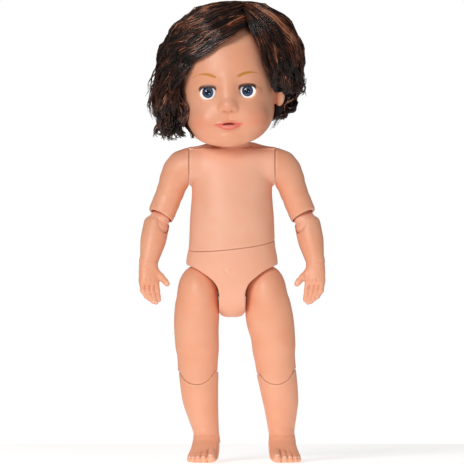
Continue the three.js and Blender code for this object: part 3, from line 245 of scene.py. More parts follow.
class Loft:
    """A form over oval rings stacked along Z: height, half width, front depth and back depth, then where its
    middle is in x and y. The back depth is the front's where it isn't given, and the middle is at 0."""

    def __init__(self, stations, power=2.0):
        full = [s if len(s) > 3 else (*s, s[2]) for s in stations]
        rows = np.array([(*s, 0, 0)[:6] for s in full], float)
        rows = rows[np.argsort(rows[:, 0])]
        self.low, self.high, self.power = rows[0, 0], rows[-1, 0], power
        self.heights = np.linspace(self.low, self.high, 600)
        self.table = smooth_table(rows[:, 0], rows[:, 1:], self.heights)
        self.slopes = np.gradient(self.table, self.heights, axis=0)

    def ring(self, z, table=None):
        z = np.clip(z, self.low, self.high)
        columns = (self.table if table is None else table).T
        return [np.interp(z, self.heights, column).astype(np.float32) for column in columns]

    def __call__(self, place):
        x, y, z = place
        p = self.power
        half, front, back, mid_x, mid_y = self.ring(z)
        half_s, front_s, back_s, mid_xs, mid_ys = self.ring(z, self.slopes)
        in_front = y < mid_y
        depth, depth_s = np.where(in_front, front, back), np.where(in_front, front_s, back_s)
        u, v = (x - mid_x) / half, (y - mid_y) / depth
        au, av = np.abs(u), np.abs(v)
        up, vp = au ** (p - 1), av ** (p - 1)
        reach = np.maximum((up * au + vp * av) ** (1 / p), 0.05)
        lean_u = (up * au * half_s + np.sign(u) * up * mid_xs) / half
        lean_v = (vp * av * depth_s + np.sign(v) * vp * mid_ys) / depth
        steep = np.sqrt((up / half) ** 2 + (vp / depth) ** 2 + (lean_u + lean_v) ** 2)
        distance = (reach - 1) * reach ** (p - 1) / np.maximum(steep, 1e-3)
        return np.maximum(distance, np.maximum(self.low - z, z - self.high))


def outline_distance(u, v, points):
    """Distance in a plane from a closed outline, negative inside."""
    points = np.asarray(points, float)
    best = None
    inside = None
    for (ax, ay), (bx, by) in zip(points, np.roll(points, -1, axis=0)):
        ex, ey = bx - ax, by - ay
        wx, wy = u - ax, v - ay
        share = np.clip((wx * ex + wy * ey) / (ex * ex + ey * ey), 0, 1)
        gap = (wx - ex * share) ** 2 + (wy - ey * share) ** 2
        best = gap if best is None else np.minimum(best, gap)
        crossing = ((ay > v) != (by > v)) & (u < ex * (v - ay) / (ey if ey else 1e-9) + ax)
        inside = crossing if inside is None else inside ^ crossing
    return np.sqrt(best) * np.where(inside, -1, 1)


def bezier(a, b, c, d, count=12):
    t = np.linspace(0, 1, count)[:, None]
    a, b, c, d = map(np.asarray, (a, b, c, d))
    return (1 - t) ** 3 * a + 3 * (1 - t) ** 2 * t * b + 3 * (1 - t) * t**2 * c + t**3 * d


# Meshes and pieces

def grid(low, high, voxel):
    axes = [np.arange(a, b, voxel, dtype=np.float32) for a, b in zip(low, high)]
    return np.meshgrid(*axes, indexing="ij", sparse=True)


def skin_of(field, low, voxel):
    """Points and four-sided faces where a sampled field is zero."""
    volume = vdb.FloatGrid(3 * voxel)
    volume.copyFromArray(np.ascontiguousarray(np.clip(field, -3 * voxel, 3 * voxel), dtype=np.float32))
    points, faces = volume.convertToQuads(0)
    return points.astype(float) * voxel + np.array(low), faces.astype(np.int64)


def creases(points, faces):
    """How hollow the surface is at each point: above 0 in grooves, below 0 on ridges."""
    total = len(points)
    ends = np.concatenate([faces, np.roll(faces, -1, axis=1)], axis=0).reshape(-1)
    starts = np.concatenate([np.roll(faces, -1, axis=1), faces], axis=0).reshape(-1)
    count = np.maximum(np.bincount(starts, minlength=total), 1)[:, None]

    def around(values):
        columns = [np.bincount(starts, column[ends], minlength=total) for column in values.T]
        return np.stack(columns, axis=1) / count

    a, b, c, d = [points[faces[:, k]] for k in range(4)]
    face_normal = np.cross(c - a, d - b)
    normal = np.zeros_like(points)
    for k in range(4):
        for axis in range(3):
            normal[:, axis] += np.bincount(faces[:, k], face_normal[:, axis], minlength=total)
    hollow = np.einsum("ij,ij->i", around(around(points)) - points, unit(normal))[:, None]
    for _ in range(4):
        hollow = around(hollow)
    return hollow[:, 0]


def add_mesh(name, points, faces, matrix, layers=None):
    """A smooth mesh object from points in millimetres in a frame, with one number per point in each layer.
    The faces are an array where they all have as many sides, or else a list."""
    placed = (points @ matrix[:3, :3].T + matrix[:3, 3]) / MILLIMETRES
    mesh = bpy.data.meshes.new(name)
    if isinstance(faces, list):
        mesh.from_pydata(placed.tolist(), [], faces)
    else:
        mesh.vertices.add(len(placed))
        mesh.vertices.foreach_set("co", placed.astype(np.float32).ravel())
        mesh.loops.add(faces.size)
        mesh.loops.foreach_set("vertex_index", faces.astype(np.int32).ravel())
        mesh.polygons.add(len(faces))
        mesh.polygons.foreach_set("loop_start", np.arange(0, faces.size, faces.shape[1], dtype=np.int32))
    for layer, values in (layers or {}).items():
        attribute = mesh.attributes.new(layer, "FLOAT", "POINT")
        attribute.data.foreach_set("value", np.asarray(values, np.float32))
    mesh.update(calc_edges=True)
    mesh.validate()
    mesh.shade_smooth()
    thing = bpy.data.objects.new(name, mesh)
    bpy.context.scene.collection.objects.link(thing)
    return thing


def settle(thing, material, slot, body, *nodes):
    thing.data.materials.append(material)
    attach(thing, body)
    if nodes:
        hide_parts(*nodes)


def moulded(name, field, low, voxel, matrix, layers=None, mirrored=False):
    """A moulded piece from a sampled field, with its creases stored for the material."""
    points, faces = skin_of(field, low, voxel)
    if mirrored:
        points[:, 0] *= -1
        faces = faces[:, ::-1]
    stored = {"crease": creases(points, faces)}
    if layers:
        stored.update(layers(points))
    return add_mesh(name, points, faces, matrix, stored)


def evened(field, voxel):
    """The field with its slope brought down to one, so that joins are as soft on level surfaces."""
    slope = np.sqrt(sum(part**2 for part in np.gradient(field, voxel)))
    return field / np.maximum(slope, 1.0)


# Materials

def linear(red, green, blue):
    """A colour written as 0 to 255, in scene-linear values."""
    values = [c / 255 for c in (red, green, blue)]
    return tuple(c / 12.92 if c <= 0.04045 else ((c + 0.055) / 1.055) ** 2.4 for c in values) + (1.0,)


class Shader:
    """The nodes of a material or a world, built one at a time."""

    def __init__(self, owner):
        self.owner = owner
        owner.use_nodes = True
        self.tree = owner.node_tree
        self.tree.nodes.clear()

    def node(self, kind, inputs=None, **settings):
        made = self.tree.nodes.new("ShaderNode" + kind)
        for key, value in settings.items():
            setattr(made, key, value)
        for key, value in (inputs or {}).items():
            if isinstance(value, bpy.types.NodeSocket):
                self.tree.links.new(value, made.inputs[key])
            else:
                made.inputs[key].default_value = value
        return made

    def layer(self, name):
        return self.node("Attribute", attribute_name=name).outputs["Fac"]

    def place(self):
        return self.node("TexCoord").outputs["Object"]

    def noise(self, scale, detail=3.0, vector=None, rough=0.5):
        inputs = {"Vector": vector or self.place(), "Scale": scale, "Detail": detail, "Roughness": rough}
        return self.node("TexNoise", inputs).outputs["Fac"]

    def between(self, value, low, high, start=0.0, end=1.0):
        inputs = {"Value": value, "From Min": low, "From Max": high, "To Min": start, "To Max": end}
        return self.node("MapRange", inputs, interpolation_type="SMOOTHSTEP").outputs["Result"]

    def math(self, operation, a, b=0.0):
        return self.node("Math", {0: a, 1: b}, operation=operation).outputs[0]

    def mix(self, share, a, b):
        return self.node("Mix", {0: share, 6: a, 7: b}, data_type="RGBA").outputs[2]

    def tint(self, colour, value, low, high, most, paint):
        """The colour with paint over it as a value goes from low to high."""
        return self.mix(self.between(value, low, high, 0.0, most), colour, paint)

    def bump(self, height, strength, distance):
        inputs = {"Height": height, "Strength": strength, "Distance": distance}
        return self.node("Bump", inputs).outputs["Normal"]

    def surface(self, kind, inputs):
        return self.node(kind, inputs).outputs[0]

    def finish(self, colour, roughness, normal=None, **sockets):
        inputs = {"Base Color": colour, "Roughness": roughness}
        if normal:
            inputs["Normal"] = normal
        inputs.update({key.replace("_", " "): value for key, value in sockets.items()})
        return self.show(self.surface("BsdfPrincipled", inputs))

    def show(self, surface, output="OutputMaterial"):
        self.node(output, {"Surface": surface})
        return self.owner


def new_shader(name):
    return Shader(bpy.data.materials.new(name))


WHITE = (1.0, 1.0, 1.0, 1.0)
SKIN = linear(238, 172, 139)
SKIN_WARM = linear(234, 160, 124)
TRUNK_SKIN = linear(244, 182, 153)
TRUNK_WARM = linear(241, 172, 140)
# Blush and painted shade for the creases, and a painted highlight for the ridges
SKIN_CREASE_BLUSH_AND_SHADE = linear(196, 104, 66)
SKIN_RIDGE_HIGHLIGHT = linear(246, 190, 160)
NAIL = linear(248, 196, 172)


def skin_colour(shader, shading=0.85, tones=(SKIN, SKIN_WARM)):
    """Peach vinyl: a little uneven, with blush and painted shade in creases and a painted highlight on
    ridges.
    """
    colour = shader.tint(tones[0], shader.noise(38.0, 2.0), 0.35, 0.7, 0.6, tones[1])
    hollow = shader.layer("crease")
    # Painted highlight on ridges, then blush and painted shade in creases
    colour = shader.tint(colour, hollow, -0.02, -0.12, 0.5, SKIN_RIDGE_HIGHLIGHT)
    return shader.tint(colour, hollow, 0.012, 0.12, shading, SKIN_CREASE_BLUSH_AND_SHADE)


def skin_finish(shader, colour, roughness):
    grain = shader.noise(1500.0, 2.0)
    rough = shader.between(grain, 0.2, 0.8, roughness - 0.05, roughness + 0.06)
    return shader.finish(
        colour, rough, shader.bump(grain, 0.05, 0.0002), Specular_IOR_Level=0.42, Subsurface_Weight=0.18,
        Subsurface_Radius=(1.0, 0.42, 0.22), Subsurface_Scale=0.006,
    )


def skin_material(name, roughness, tones):
    shader = new_shader(name)
    return skin_finish(shader, skin_colour(shader, tones=tones), roughness)


def nail_skin_material(name, roughness):
    """Vinyl skin with paler finger or toe nails."""
    shader = new_shader(name)
    colour = shader.tint(skin_colour(shader), shader.layer("nail"), 0.25, 0.7, 0.75, NAIL)
    return skin_finish(shader, colour, roughness)


vinyl = skin_material("vinyl_skin", 0.4, (SKIN, SKIN_WARM))
hard_vinyl = skin_material("hard_skin", 0.44, (TRUNK_SKIN, TRUNK_WARM))
nail_vinyl = nail_skin_material("vinyl_skin_with_nails", 0.42)


# Head rings, in a frame on the neck face

SKULL_SHIFT = -1.6
BACK_OF_HEAD = np.array([
    (-3.6, -30.5), (-2, -26), (0.5, -20), (3, -9), (5, 3), (8, 14), (12, 22), (22, 39), (34, 48),
])


def rounded(share, power):
    """Height of a round-cornered quarter curve at a share of its width."""
    return (1 - share**power) ** (1 / power)


def skull_stations():
    """Rings of the head: a full lower face, a slight hollow at the eyes and a round crown."""
    rows = []
    for q in np.cos(np.linspace(0.02, math.pi / 2, 22)):
        z = 35 - 38.6 * q
        face = -33 - 12 * rounded(q, 2.6)
        nape = float(smooth_table(BACK_OF_HEAD[:, 0], BACK_OF_HEAD[:, 1:], np.array([z]))[0, 0])
        middle = (face + nape) / 2 if z < 22 else 0.5 * (face + nape) * (34 - z) / 12 if z < 34 else 0
        rows.append((z, 42.7 * rounded(q, 2.3), middle - face, nape - middle, SKULL_SHIFT, middle))
    rows += [(47, 44.0, 43.8, 51.6, SKULL_SHIFT, 0), (56, 44.8, 44.6, 52.8, SKULL_SHIFT, 0)]
    for q in np.sin(np.linspace(0.08, math.pi / 2 - 0.05, 14)):
        share = rounded(q, 2.4)
        rows.append((60 + 67 * q, 45 * share, 45 * rounded(q, 2.1), 53 * share, SKULL_SHIFT * share, 0))
    return rows


SKULL = Loft(skull_stations(), power=2.15)


# Trunk, in the doll's frame

TRUNK = Loft([
    (135, 5.4, 6, 7), (136, 8.8, 10, 11), (138.5, 11.6, 15, 17), (147.65, 30.8, 23, 27), (164, 39.8, 28, 30),
    (186, 42.75, 30, 29), (203, 40.25, 31, 26), (227, 39.25, 31, 24), (252.7, 37.5, 26, 25),
    (274, 37.5, 22.6, 24), (281, 37.3, 20.6, 22.6), (286, 36.6, 18.4, 20.6), (289.6, 34, 16.4, 18),
    (291.6, 28, 15.4, 16.5), (292.8, 17, 15, 16), (298, 16.5, 15, 16),
], power=2.3)
GRID_HIGH = {"torso": (43, 40, 301), "pelvis": (47, 40, 212)}
CROTCH_HALF = 12.2
NAVEL_X = -3.6
NAVEL_Z = 179.0
JAW_ROOM = 0.9
HEAD_LOOKS = (-60, -45, 45, 60)
HIP_LIFT = 82


def trunk_skin(place):
    x, y, z = place
    body = evened(TRUNK(place), BODY_VOXEL)
    reach = np.sqrt(y * y + (z - SHOULDER_Z) ** 2) - SHOULDER_RADIUS - 0.5
    shoulders = smooth_keep(reach, np.abs(x) - SHOULDER_FACE, 1.4)
    body = smooth_join(body, shoulders, 3.0)
    for side in (1, -1):
        slope = cone(place, (side * 38, 6, 282), (side * 19, 7, 289.4), 10.3, 9.0)
        body = smooth_join(body, slope, 4.5)
        blade = egg(place, (side * 17, 17.5, 260), (13, 7.4, 16))
        body = smooth_join(body, blade, 5.0)
    return body


def trunk_halves(name, field, low):
    y = grid(low, GRID_HIGH[name], BODY_VOXEL)[1]
    for half, away in (("front", y + GAP / 2), ("back", GAP / 2 - y)):
        kept = smooth_keep(field, np.broadcast_to(away, field.shape), 0.7)
        piece = moulded(f"{name}_{half}_skin", kept, low, BODY_VOXEL, DOLL)
        settle(piece, hard_vinyl, "hard_skin", name, f"{name}_{half}")


def build_torso():
    low = (-43, -40, 192)
    place = grid(low, GRID_HIGH["torso"], BODY_VOXEL)
    x, y, z = place
    spine = 1.1 * np.exp(-((x / 4.5) ** 2)) * step(y, 8, 18) * step(z, 200, 225) * (1 - step(z, 268, 284))
    outer = trunk_skin(place) + spine
    waist = seen_from(WAIST, place)
    neck = seen_from(NECK, place)
    cavity = np.maximum(outer + SHELL_WALL, np.maximum(SHELL_WALL - waist[2], neck[2] + SHELL_WALL))
    field = pierced(smooth_keep(outer, GAP / 2 - waist[2], 0.9), cavity)
    field = smooth_cut(field, rod(neck, "z", 22, 0, 400), 0.6)
    for looking in HEAD_LOOKS:
        lowered = NECK @ turn("z", HEAD_TURN + looking) @ move(0, 0, -JAW_ROOM)
        field = pierced(field, SKULL(seen_from(lowered, place)))
    field = pierced(
        field,
        rod(neck, "z", NECK_BORE, -50, 50),
        rod(waist, "z", WAIST_BORE, -25, 25),
        rod((x, y, z - SHOULDER_Z), "x", SHOULDER_BORE, -400, 400),
    )
    trunk_halves("torso", field, low)


def leg_opening(side, x, z):
    """The high-cut leg opening seen from the front, negative inside."""
    rise = HIP_Z + 26
    curve = bezier((42.75, rise), (25.65, rise - 6), (CROTCH_HALF, HIP_Z + 8), (CROTCH_HALF, HIP_Z - 5))
    points = [(85.5, rise + 9), *curve, (CROTCH_HALF, 60), (85.5, 60)]
    return outline_distance(side * x, z, points)


def build_pelvis():
    low = (-47, -40, 131)
    place = grid(low, GRID_HIGH["pelvis"], BODY_VOXEL)
    x, y, z = place
    outer = trunk_skin(place)
    for side in (1, -1):
        outer = smooth_join(outer, egg(place, (side * 17, 15, 163), (19, 15.4, 20)), 6.0)
    waist = seen_from(WAIST, place)
    hollow = np.maximum(outer + SHELL_WALL, np.maximum(waist[2] + SHELL_WALL, HIP_Z + 28.6 - z))
    field = pierced(smooth_keep(outer, GAP / 2 + waist[2], 0.9), hollow)
    for name, side in SIDES:
        roll, length, _ = leg_pose(name, side)
        raised = hip_frame(side) @ turn("x", -HIP_LIFT)
        thigh = thigh_loft(length, side)(seen_from(raised @ turn("y", roll), place))
        field = smooth_cut(field, leg_opening(side, x, z), 1.2)
        field = smooth_cut(field, egg(place, (side * HIP_X, 0, HIP_Z), HIP_SOCKET), 0.8)
        field = smooth_cut(field, thigh - 0.7, 0.8)
        field = smooth_cut(field, inner_flesh(seen_from(raised, place), side) - 0.6, 0.8)
    field = pierced(
        field,
        rod(waist, "z", WAIST_BORE, -3.2, 50),
        rod(waist, "z", 15.5, -5.9, -SHELL_WALL),
        rod((x, y, z - HIP_Z), "x", AXLE_BORE, -50, 50),
    )
    ring = np.sqrt((x - NAVEL_X) ** 2 + (z - NAVEL_Z) ** 2)
    lower = 0.4 + 0.6 * step(NAVEL_Z - z, -2, 2)
    navel = 0.5 * lower * np.exp(-(((ring - 3.3) / 0.9) ** 2)) - 0.25 * np.exp(-((ring / 2) ** 2))
    trunk_halves("pelvis", field + navel * step(-y, 5, 12), low)


# Legs

KNEE_RIM = 5.0
KNEE_BEND = 68.0
BLADE_HALF = 4.4
BLADE_TOP = 6.6


def thigh_loft(length, side):
    bow = side * THIGH_BOW
    return Loft([
        (-length - 23.2, 18.2, 17, 17), (-length, 18.6, 17, 17), (-length + 9, 19.2, 17.3, 17.3),
        (-0.74 * length, 20.3, 18.6, 18.6, 0.4 * bow), (-0.4 * length, 20.8, 20, 20, bow),
        (-0.16 * length, 19.8, 21.4, 21.4, bow), (0, 17.5, 22, 22, 0.5 * bow),
    ])


def inner_flesh(place, side):
    """The soft bulge of the thigh beside the crotch, in a level frame at the hip."""
    return egg(place, (-side * 7, 0, -16), (12.6, 17, 30))


def build_thigh(name, side):
    roll, length, _ = leg_pose(name, side)
    matrix = DOLL @ hip_frame(side) @ turn("y", roll)
    low, high = (-27, -29, -length - 27), (27, 29, 28)
    place = grid(low, high, LIMB_VOXEL)
    x, y, z = place
    knee = (x, y, z + length)
    disc = egg(knee, ORIGIN, KNEE_DISC)
    above = np.minimum(9.7 - knee[2], np.maximum(knee[1], -KNEE_RIM + 0.35 - knee[2]))
    above = np.minimum(above, np.sqrt(knee[1] ** 2 + knee[2] ** 2) - KNEE_RIM + 0.35)
    limb = smooth_keep(thigh_loft(length, side)(place), np.minimum(disc, above), 0.3)
    level = seen_from(turn("y", -roll), place)
    field = smooth_join(limb, egg(level, ORIGIN, HIP_BALL), 2.5)
    field = smooth_join(field, inner_flesh(level, side), 3.0)
    bent = math.radians(KNEE_BEND)
    over_blade = np.maximum(knee[2], math.cos(bent) * knee[1] + math.sin(bent) * knee[2]) - BLADE_TOP
    slot = np.maximum(np.abs(x) - BLADE_HALF, np.maximum(-knee[1] - BLADE_TOP, over_blade))
    inward = (-side * level[0], level[1], level[2])
    field = pierced(
        field,
        slot,
        rod(knee, "x", KNEE_PIN_BORE, -12.4, 12.4),
        rod(inward, "x", AXLE_BORE, 12.6, 50),
        rod(inward, "x", 7.4, 9.9, 13.0),
    )
    piece = moulded(f"{name}_thigh_skin", field, low, LIMB_VOXEL, matrix)
    settle(piece, vinyl, "vinyl_skin", f"{name}_thigh", f"{name}_thigh")


# Toes from the inside: radius, place across the foot, and how far each tip stands back
TOES = [(3.9, 0.68, 0), (3.1, 0.2, 0.6), (3.0, -0.18, 2.4), (2.85, -0.52, 5), (2.65, -0.8, 8.2)]
TOE_FRONT = 39.0
FOOT_HALF = 14.25
# Rings along the foot: place, half width, height, sideways shift
FOOT_RINGS = [
    (17, 3.6, 8, 0), (14.5, 8.3, 16, 0), (7.65, 11.4, 26, 0), (-2, 12.3, 29, 0), (-13.3, 13.1, 20.8, 0.4),
    (-23.4, 14, 12.6, 0.8), (-29.4, 13.7, 7.4, 0.6), (-33, 11.4, 4.8, 0.4),
]


def on_nail(nail, fade, side_kept):
    """How much each place is on a nail, from the nail's distance."""
    return np.exp(-(np.maximum(nail, 0) / fade) ** 2) * side_kept


def foot_field(place, side):
    """The foot, heel to toes along Y, standing on z = 0. Also gives how much each place is on a toe nail."""
    x, y, z = place
    inward = -side
    rows = [(-at, half, (high + 0.6) / 2, (high + 0.6) / 2, inward * shift, (high - 0.6) / 2)
            for at, half, high, shift in FOOT_RINGS]
    body = Loft(rows, power=2.4)((x, z, -y))
    arch = egg(place, (inward * 15, -9, -1.5), (7.5, 13, 4.2))
    body = smooth_cut(body, arch, 3.0)
    nails = np.zeros(np.broadcast(x, y, z).shape, np.float32)
    for radius, share, back in TOES:
        across = inward * FOOT_HALF * share
        tip = -TOE_FRONT + back + radius * 0.5
        joint = (across, tip + 5.2, radius + 3.2)
        toe = chain(place, [(across * 0.94, tip + 12, radius + 6.4), joint, (across, tip + 0.4, radius)],
                    [radius * 0.9, radius * 0.93, radius], 0.8)
        body = smooth_join(body, toe, 0.7)
        nail = egg(place, (across, tip - 0.6, radius * 1.86), (radius * 0.62, radius * 0.7, radius * 0.3))
        body = smooth_join(body, nail, 0.25)
        nails = np.maximum(nails, on_nail(nail, 0.3, z > radius * 1.4))
    return body, nails


# Rings down the shin: share of its length, half width, front and back depth, and the calf's shift outwards
SHIN_RINGS = [
    (1.12, 11.6, 12, 12, 0), (1, 12, 13, 13, 0), (0.8, 13.9, 13.6, 14.6, 0.9), (0.52, 16.6, 15.4, 17.6, 1.7),
    (0.3, 17.7, 16.6, 17.3, 1.0), (0.1, 18.4, 17, 17, 0), (0, 18.4, 17, 17, 0),
]


def build_shin(name, side):
    roll, thigh, ankle = leg_pose(name, side)
    lean, length = ankle[0], -ankle[2]
    matrix = DOLL @ hip_frame(side) @ turn("y", roll) @ move(0, 0, -thigh)
    foot_frame = move(lean, 0, -length) @ turn("y", -roll) @ move(0, 0, -ANKLE_Z) @ turn("z", side * TOE_OUT)
    low, high = (-30 + min(lean, 0), -46, -length - 32), (30 + max(lean, 0), 24, 11)
    place = grid(low, high, LIMB_VOXEL)
    x, y, z = place
    leg = Loft([(-length * share, half, front, back, lean * share + side * calf)
                for share, half, front, back, calf in SHIN_RINGS])(place)
    in_foot = seen_from(foot_frame, place)
    field = smooth_join(leg, foot_field(in_foot, side)[0], 3.5)
    field = smooth_keep(field, np.broadcast_to(z + KNEE_RIM, field.shape), 0.3)
    crease_z = in_foot[2] - 25.5 - 0.12 * in_foot[1]
    field = field + dent(0.7, crease_z, 1.0) * step(-in_foot[1], 2, 8)
    field = field + dent(0.35, in_foot[2] - 31.5, 1.2) * step(-in_foot[1], 4, 10)
    field = smooth_cut(field, egg(place, ORIGIN, KNEE_SOCKET), 0.7)
    blade = np.maximum(np.abs(x) - BLADE_HALF, np.maximum(np.abs(y) - 6.4, np.maximum(-33.6 - z, z - 12)))
    field = smooth_keep(pierced(field, blade), -in_foot[2], 0.7)

    def layers(points):
        inside = seen_from(foot_frame, tuple(points.T.astype(np.float32)))
        return {"nail": foot_field(inside, side)[1]}

    piece = moulded(f"{name}_shin_skin", field, low, LIMB_VOXEL, matrix, layers)
    settle(piece, nail_vinyl, "vinyl_skin", f"{name}_shin", f"{name}_shin")


# Arms

# Middle line of the upper arm from the shoulder down, with its radius at each place
ARM_LINE = [
    (-0.5, 0, 0.0), (5, 0, -1.6), (9.6, 0, -5.8), (13.4, 0, -12.6), (17.3, 0, -23.6), (21.4, 0, -34),
    (24.5, 0, -41.5), (ELBOW_X - 4 * math.sin(SPLAY), 0, ELBOW_Z + 4 * math.cos(SPLAY)),
]
ARM_RADII = [17.3, 16.4, 15.1, 13.6, 12.5, 12.3, 12.2, 12.1]
ELBOW_SLANT = math.radians(14)


def build_upper_arm(name, side):
    low, high = (-1.5, -20, -62), (50, 20, 20)
    place = grid(low, high, LIMB_VOXEL)
    field = smooth_keep(chain(place, ARM_LINE, ARM_RADII, 2.0), -place[0], 1.3)
    elbow = seen_from(elbow_in_arm(1), place)
    mouth = (elbow[2] - 9) * math.cos(ELBOW_SLANT) + elbow[1] * math.sin(ELBOW_SLANT)
    field = smooth_keep(field, -mouth, 1.0)
    field = smooth_cut(field, rod(elbow, "z", 10.3, -50, 12.7), 0.7)
    field = pierced(
        field,
        rod(elbow, "z", 4.5, 0, 16),
        rod(elbow, "z", 7.5, 15.5, 18.7),
        rod(place, "x", SHOULDER_BORE, -3.5, 3.5),
        rod(place, "x", 10, 3, 6.1),
    )
    piece = moulded(f"{name}_upper_arm_skin", field, low, LIMB_VOXEL, shoulder_frame(side), mirrored=side < 0)
    settle(piece, vinyl, "vinyl_skin", f"{name}_upper_arm", f"{name}_upper_arm")


def knuckle_frame(side):
    return shoulder_frame(side) @ elbow_in_arm(side) @ turn("z", -side * ELBOW_SWIVEL)


def build_knuckle(name, side):
    low, high = (-14, -16, -17), (14, 16, 20)
    place = grid(low, high, HAND_VOXEL)
    x, y, z = place
    disc = egg(place, ORIGIN, ELBOW_DISC)
    slope = 11.9 - np.clip((z - 1.2) / 3.8, 0, 1) * 2.4
    trim = np.maximum(np.sqrt(x * x + y * y) - slope, z - 12.2)
    field = smooth_keep(disc, trim, 0.8)
    field = np.minimum(field, rod(place, "z", 4, 0, 16))
    field = np.minimum(field, rod(place, "z", 7, 15.9, 18.3))
    field = pierced(field, rod(place, "x", ELBOW_PIN_BORE, -50, 50))
    piece = moulded(f"{name}_elbow_skin", field, low, HAND_VOXEL, knuckle_frame(side))
    settle(piece, hard_vinyl, "hard_skin", f"{name}_elbow", f"{name}_elbow_knuckle")


PALM = Loft([
    (-21, 8.0, 3.4), (-17.85, 9.0, 5.0), (-9.45, 9.3, 5.7), (-1, 8.5, 6.7), (3, 8.2, 6.8), (6, 7, 6),
], power=2.3)
FOREARM = Loft([
    (-42, 6.6, 5.2), (-39, 8.3, 7.1), (-34, 9.3, 8.3), (-28.1, 10.4, 9.6), (-14, 12.3, 11.8), (0, 12.4, 12),
    (3.5, 11.6, 11.2),
])
# Fingers: place across the palm and length
FINGERS = [(6.65, 15.0), (0.33 * 6.65, 17.4), (-0.33 * 6.65, 16.6), (-6.65, 14.2)]
KNUCKLE_Z = -21
THUMB = [(4.3, -0.5, -5), (11.4, -1.4, -13), (15.2, -1.0, -17.4), (16.9, -0.7, -19.6)]


def hand_field(place, side):
    """A hand hanging along -Z, its back to -Y and its thumb towards the body. Also gives its nails."""
    x, y, z = place
    inward = -side
    palm = PALM(place)
    nails = np.zeros(np.broadcast(x, y, z).shape, np.float32)
    fingers = None
    for root_x, length in FINGERS:
        root = (inward * root_x, 0.4, -15.5)
        knuckle = (inward * (root_x + 0.9), -0.1, KNUCKLE_Z - length * 0.35)
        middle = (inward * (root_x * 0.8 + 3.0), 1.7, KNUCKLE_Z - length * 0.7)
        tip = (inward * (root_x * 0.6 + 5.0), 4.0, KNUCKLE_Z - length + 2.2)
        finger = chain(place, [root, knuckle, middle, tip], [2.75, 2.55, 2.4, 2.2], 0.9)
        for joint in (knuckle, middle):
            line = (z - joint[2]) + 0.12 * y
            finger = finger + dent(0.16, line, 0.5) * step(-y + joint[1], -0.5, 1.5)
        fingers = finger if fingers is None else np.minimum(fingers, finger)
        nail = egg(place, (tip[0] + inward * 0.2, tip[1] - 1.9, tip[2] + 0.1), (1.35, 0.55, 1.75))
        fingers = smooth_join(fingers, nail, 0.2)
        nails = np.maximum(nails, on_nail(nail, 0.25, y < tip[1] - 0.9))
        dimple = egg(place, (inward * root_x * 0.93, -5.6, -16.8), (1.1, 1.1, 1.0))
        palm = smooth_cut(palm, dimple, 1.0)
    thumb = chain(place, [(inward * px, py, pz) for px, py, pz in THUMB], [3.5, 3.1, 2.75, 2.5], 1.2)
    nail = egg(place, (inward * 16.4, -2.95, -18.9), (1.5, 0.55, 1.8))
    thumb = smooth_join(thumb, nail, 0.2)
    nails = np.maximum(nails, on_nail(nail, 0.25, y < -1.6))
    hand = smooth_join(smooth_join(palm, fingers, 1.5), thumb, 2.4)
    return hand, nails


def build_forearm(name, side):
    matrix = knuckle_frame(side) @ turn("x", -ELBOW_BEND)
    hand_frame = move(0, 0, -FOREARM_LENGTH) @ turn("z", side * ELBOW_SWIVEL) @ turn("y", side * HAND_TILT)
    low, high = (-24, -24, -84), (24, 24, 5)
    place = grid(low, high, HAND_VOXEL)
    in_hand = seen_from(hand_frame, place)
    field = smooth_join(FOREARM(place), hand_field(in_hand, side)[0], 3.0)
    field = field + dent(0.4, in_hand[2] - 0.8 + 0.06 * in_hand[0], 0.9)
    field = smooth_cut(field, egg(place, ORIGIN, ELBOW_SOCKET), 0.8)
    field = pierced(field, rod(place, "x", ELBOW_PIN_BORE, -11.8, 11.8))

    def layers(points):
        inside = seen_from(hand_frame, tuple(points.T.astype(np.float32)))
        return {"nail": hand_field(inside, side)[1]}

    piece = moulded(f"{name}_forearm_skin", field, low, HAND_VOXEL, matrix, layers)
    settle(piece, nail_vinyl, "vinyl_skin", f"{name}_forearm", f"{name}_forearm")


# Head, in a frame on the neck face

EAR_TURN = 42.0
LIP_HALF = 15.0
MOUTH_Z = 16.3
PARTED_HALF = 6.6
FACE_Y = -30
# Forms of the face: centre and radii, the first of a pair on the doll's left
CHEEK = (19, -29.5, 21), (15, 14.5, 13)
CHIN = (-0.8, -34, 7), (12, 9.2, 8.6)
EYE_BOWL = (17, -53.5, 47.5), (14, 12.5, 11)
NOSE = (0, -44.4, 33.4), (7.0, 6.2, 5.9)
NOSE_WING = (6.0, -43.6, 31.2), (2.7, 4.2, 3.2)
NOSE_BRIDGE = [(0, -37.5, 58), (0, -38.4, 48), (0, -42.2, 37)], [6.5, 6.2, 6.0]
UPPER_LIP = (0, -43.2, 17.9), (12.2, 3.4, 2.3)
LOWER_LIP = (0, -43.1, 13.4), (10.0, 4.1, 3.3)


def pair(centre, radii):
    """The same form on both sides."""
    return [((side * centre[0], *centre[1:]), radii) for side in (1, -1)]


def lip_top(x):
    """Height of the upper lip's edge, with two low peaks."""
    share = np.clip(np.abs(x) / LIP_HALF, 0, 1)
    dip = 0.55 * np.exp(-((x / 2.4) ** 2))
    return MOUTH_Z + 3.0 * (1 - share**1.5) - dip


def lip_foot(x):
    share = np.clip(np.abs(x) / (LIP_HALF - 1.5), 0, 1)
    return MOUTH_Z - 5.4 * (1 - share**1.8)


def parted(x, z):
    """Distance inside the small opening between the lips."""
    share = np.clip(np.abs(x) / PARTED_HALF, 0, 1)
    middle = MOUTH_Z + 0.75 * (1 - share**2)
    past = np.maximum(np.abs(x) - PARTED_HALF + 1.5, 0)
    return 0.75 * (1 - share**2) + 0.2 - np.abs(z - middle) - 0.6 * past


def eye_opening(place, side):
    """Distance outside the opening of an eye, seen from the front."""
    x, _, z = place
    across = (x - side * EYE_X) / 7.5
    up = (z - EYE_Z) / np.where(z > EYE_Z, 4.5, 6.7)
    reach = (np.abs(across) ** 2.2 + np.abs(up) ** 2.2) ** (1 / 2.2)
    return (reach - 1) * np.where(z > EYE_Z, 5.4, 7.0)


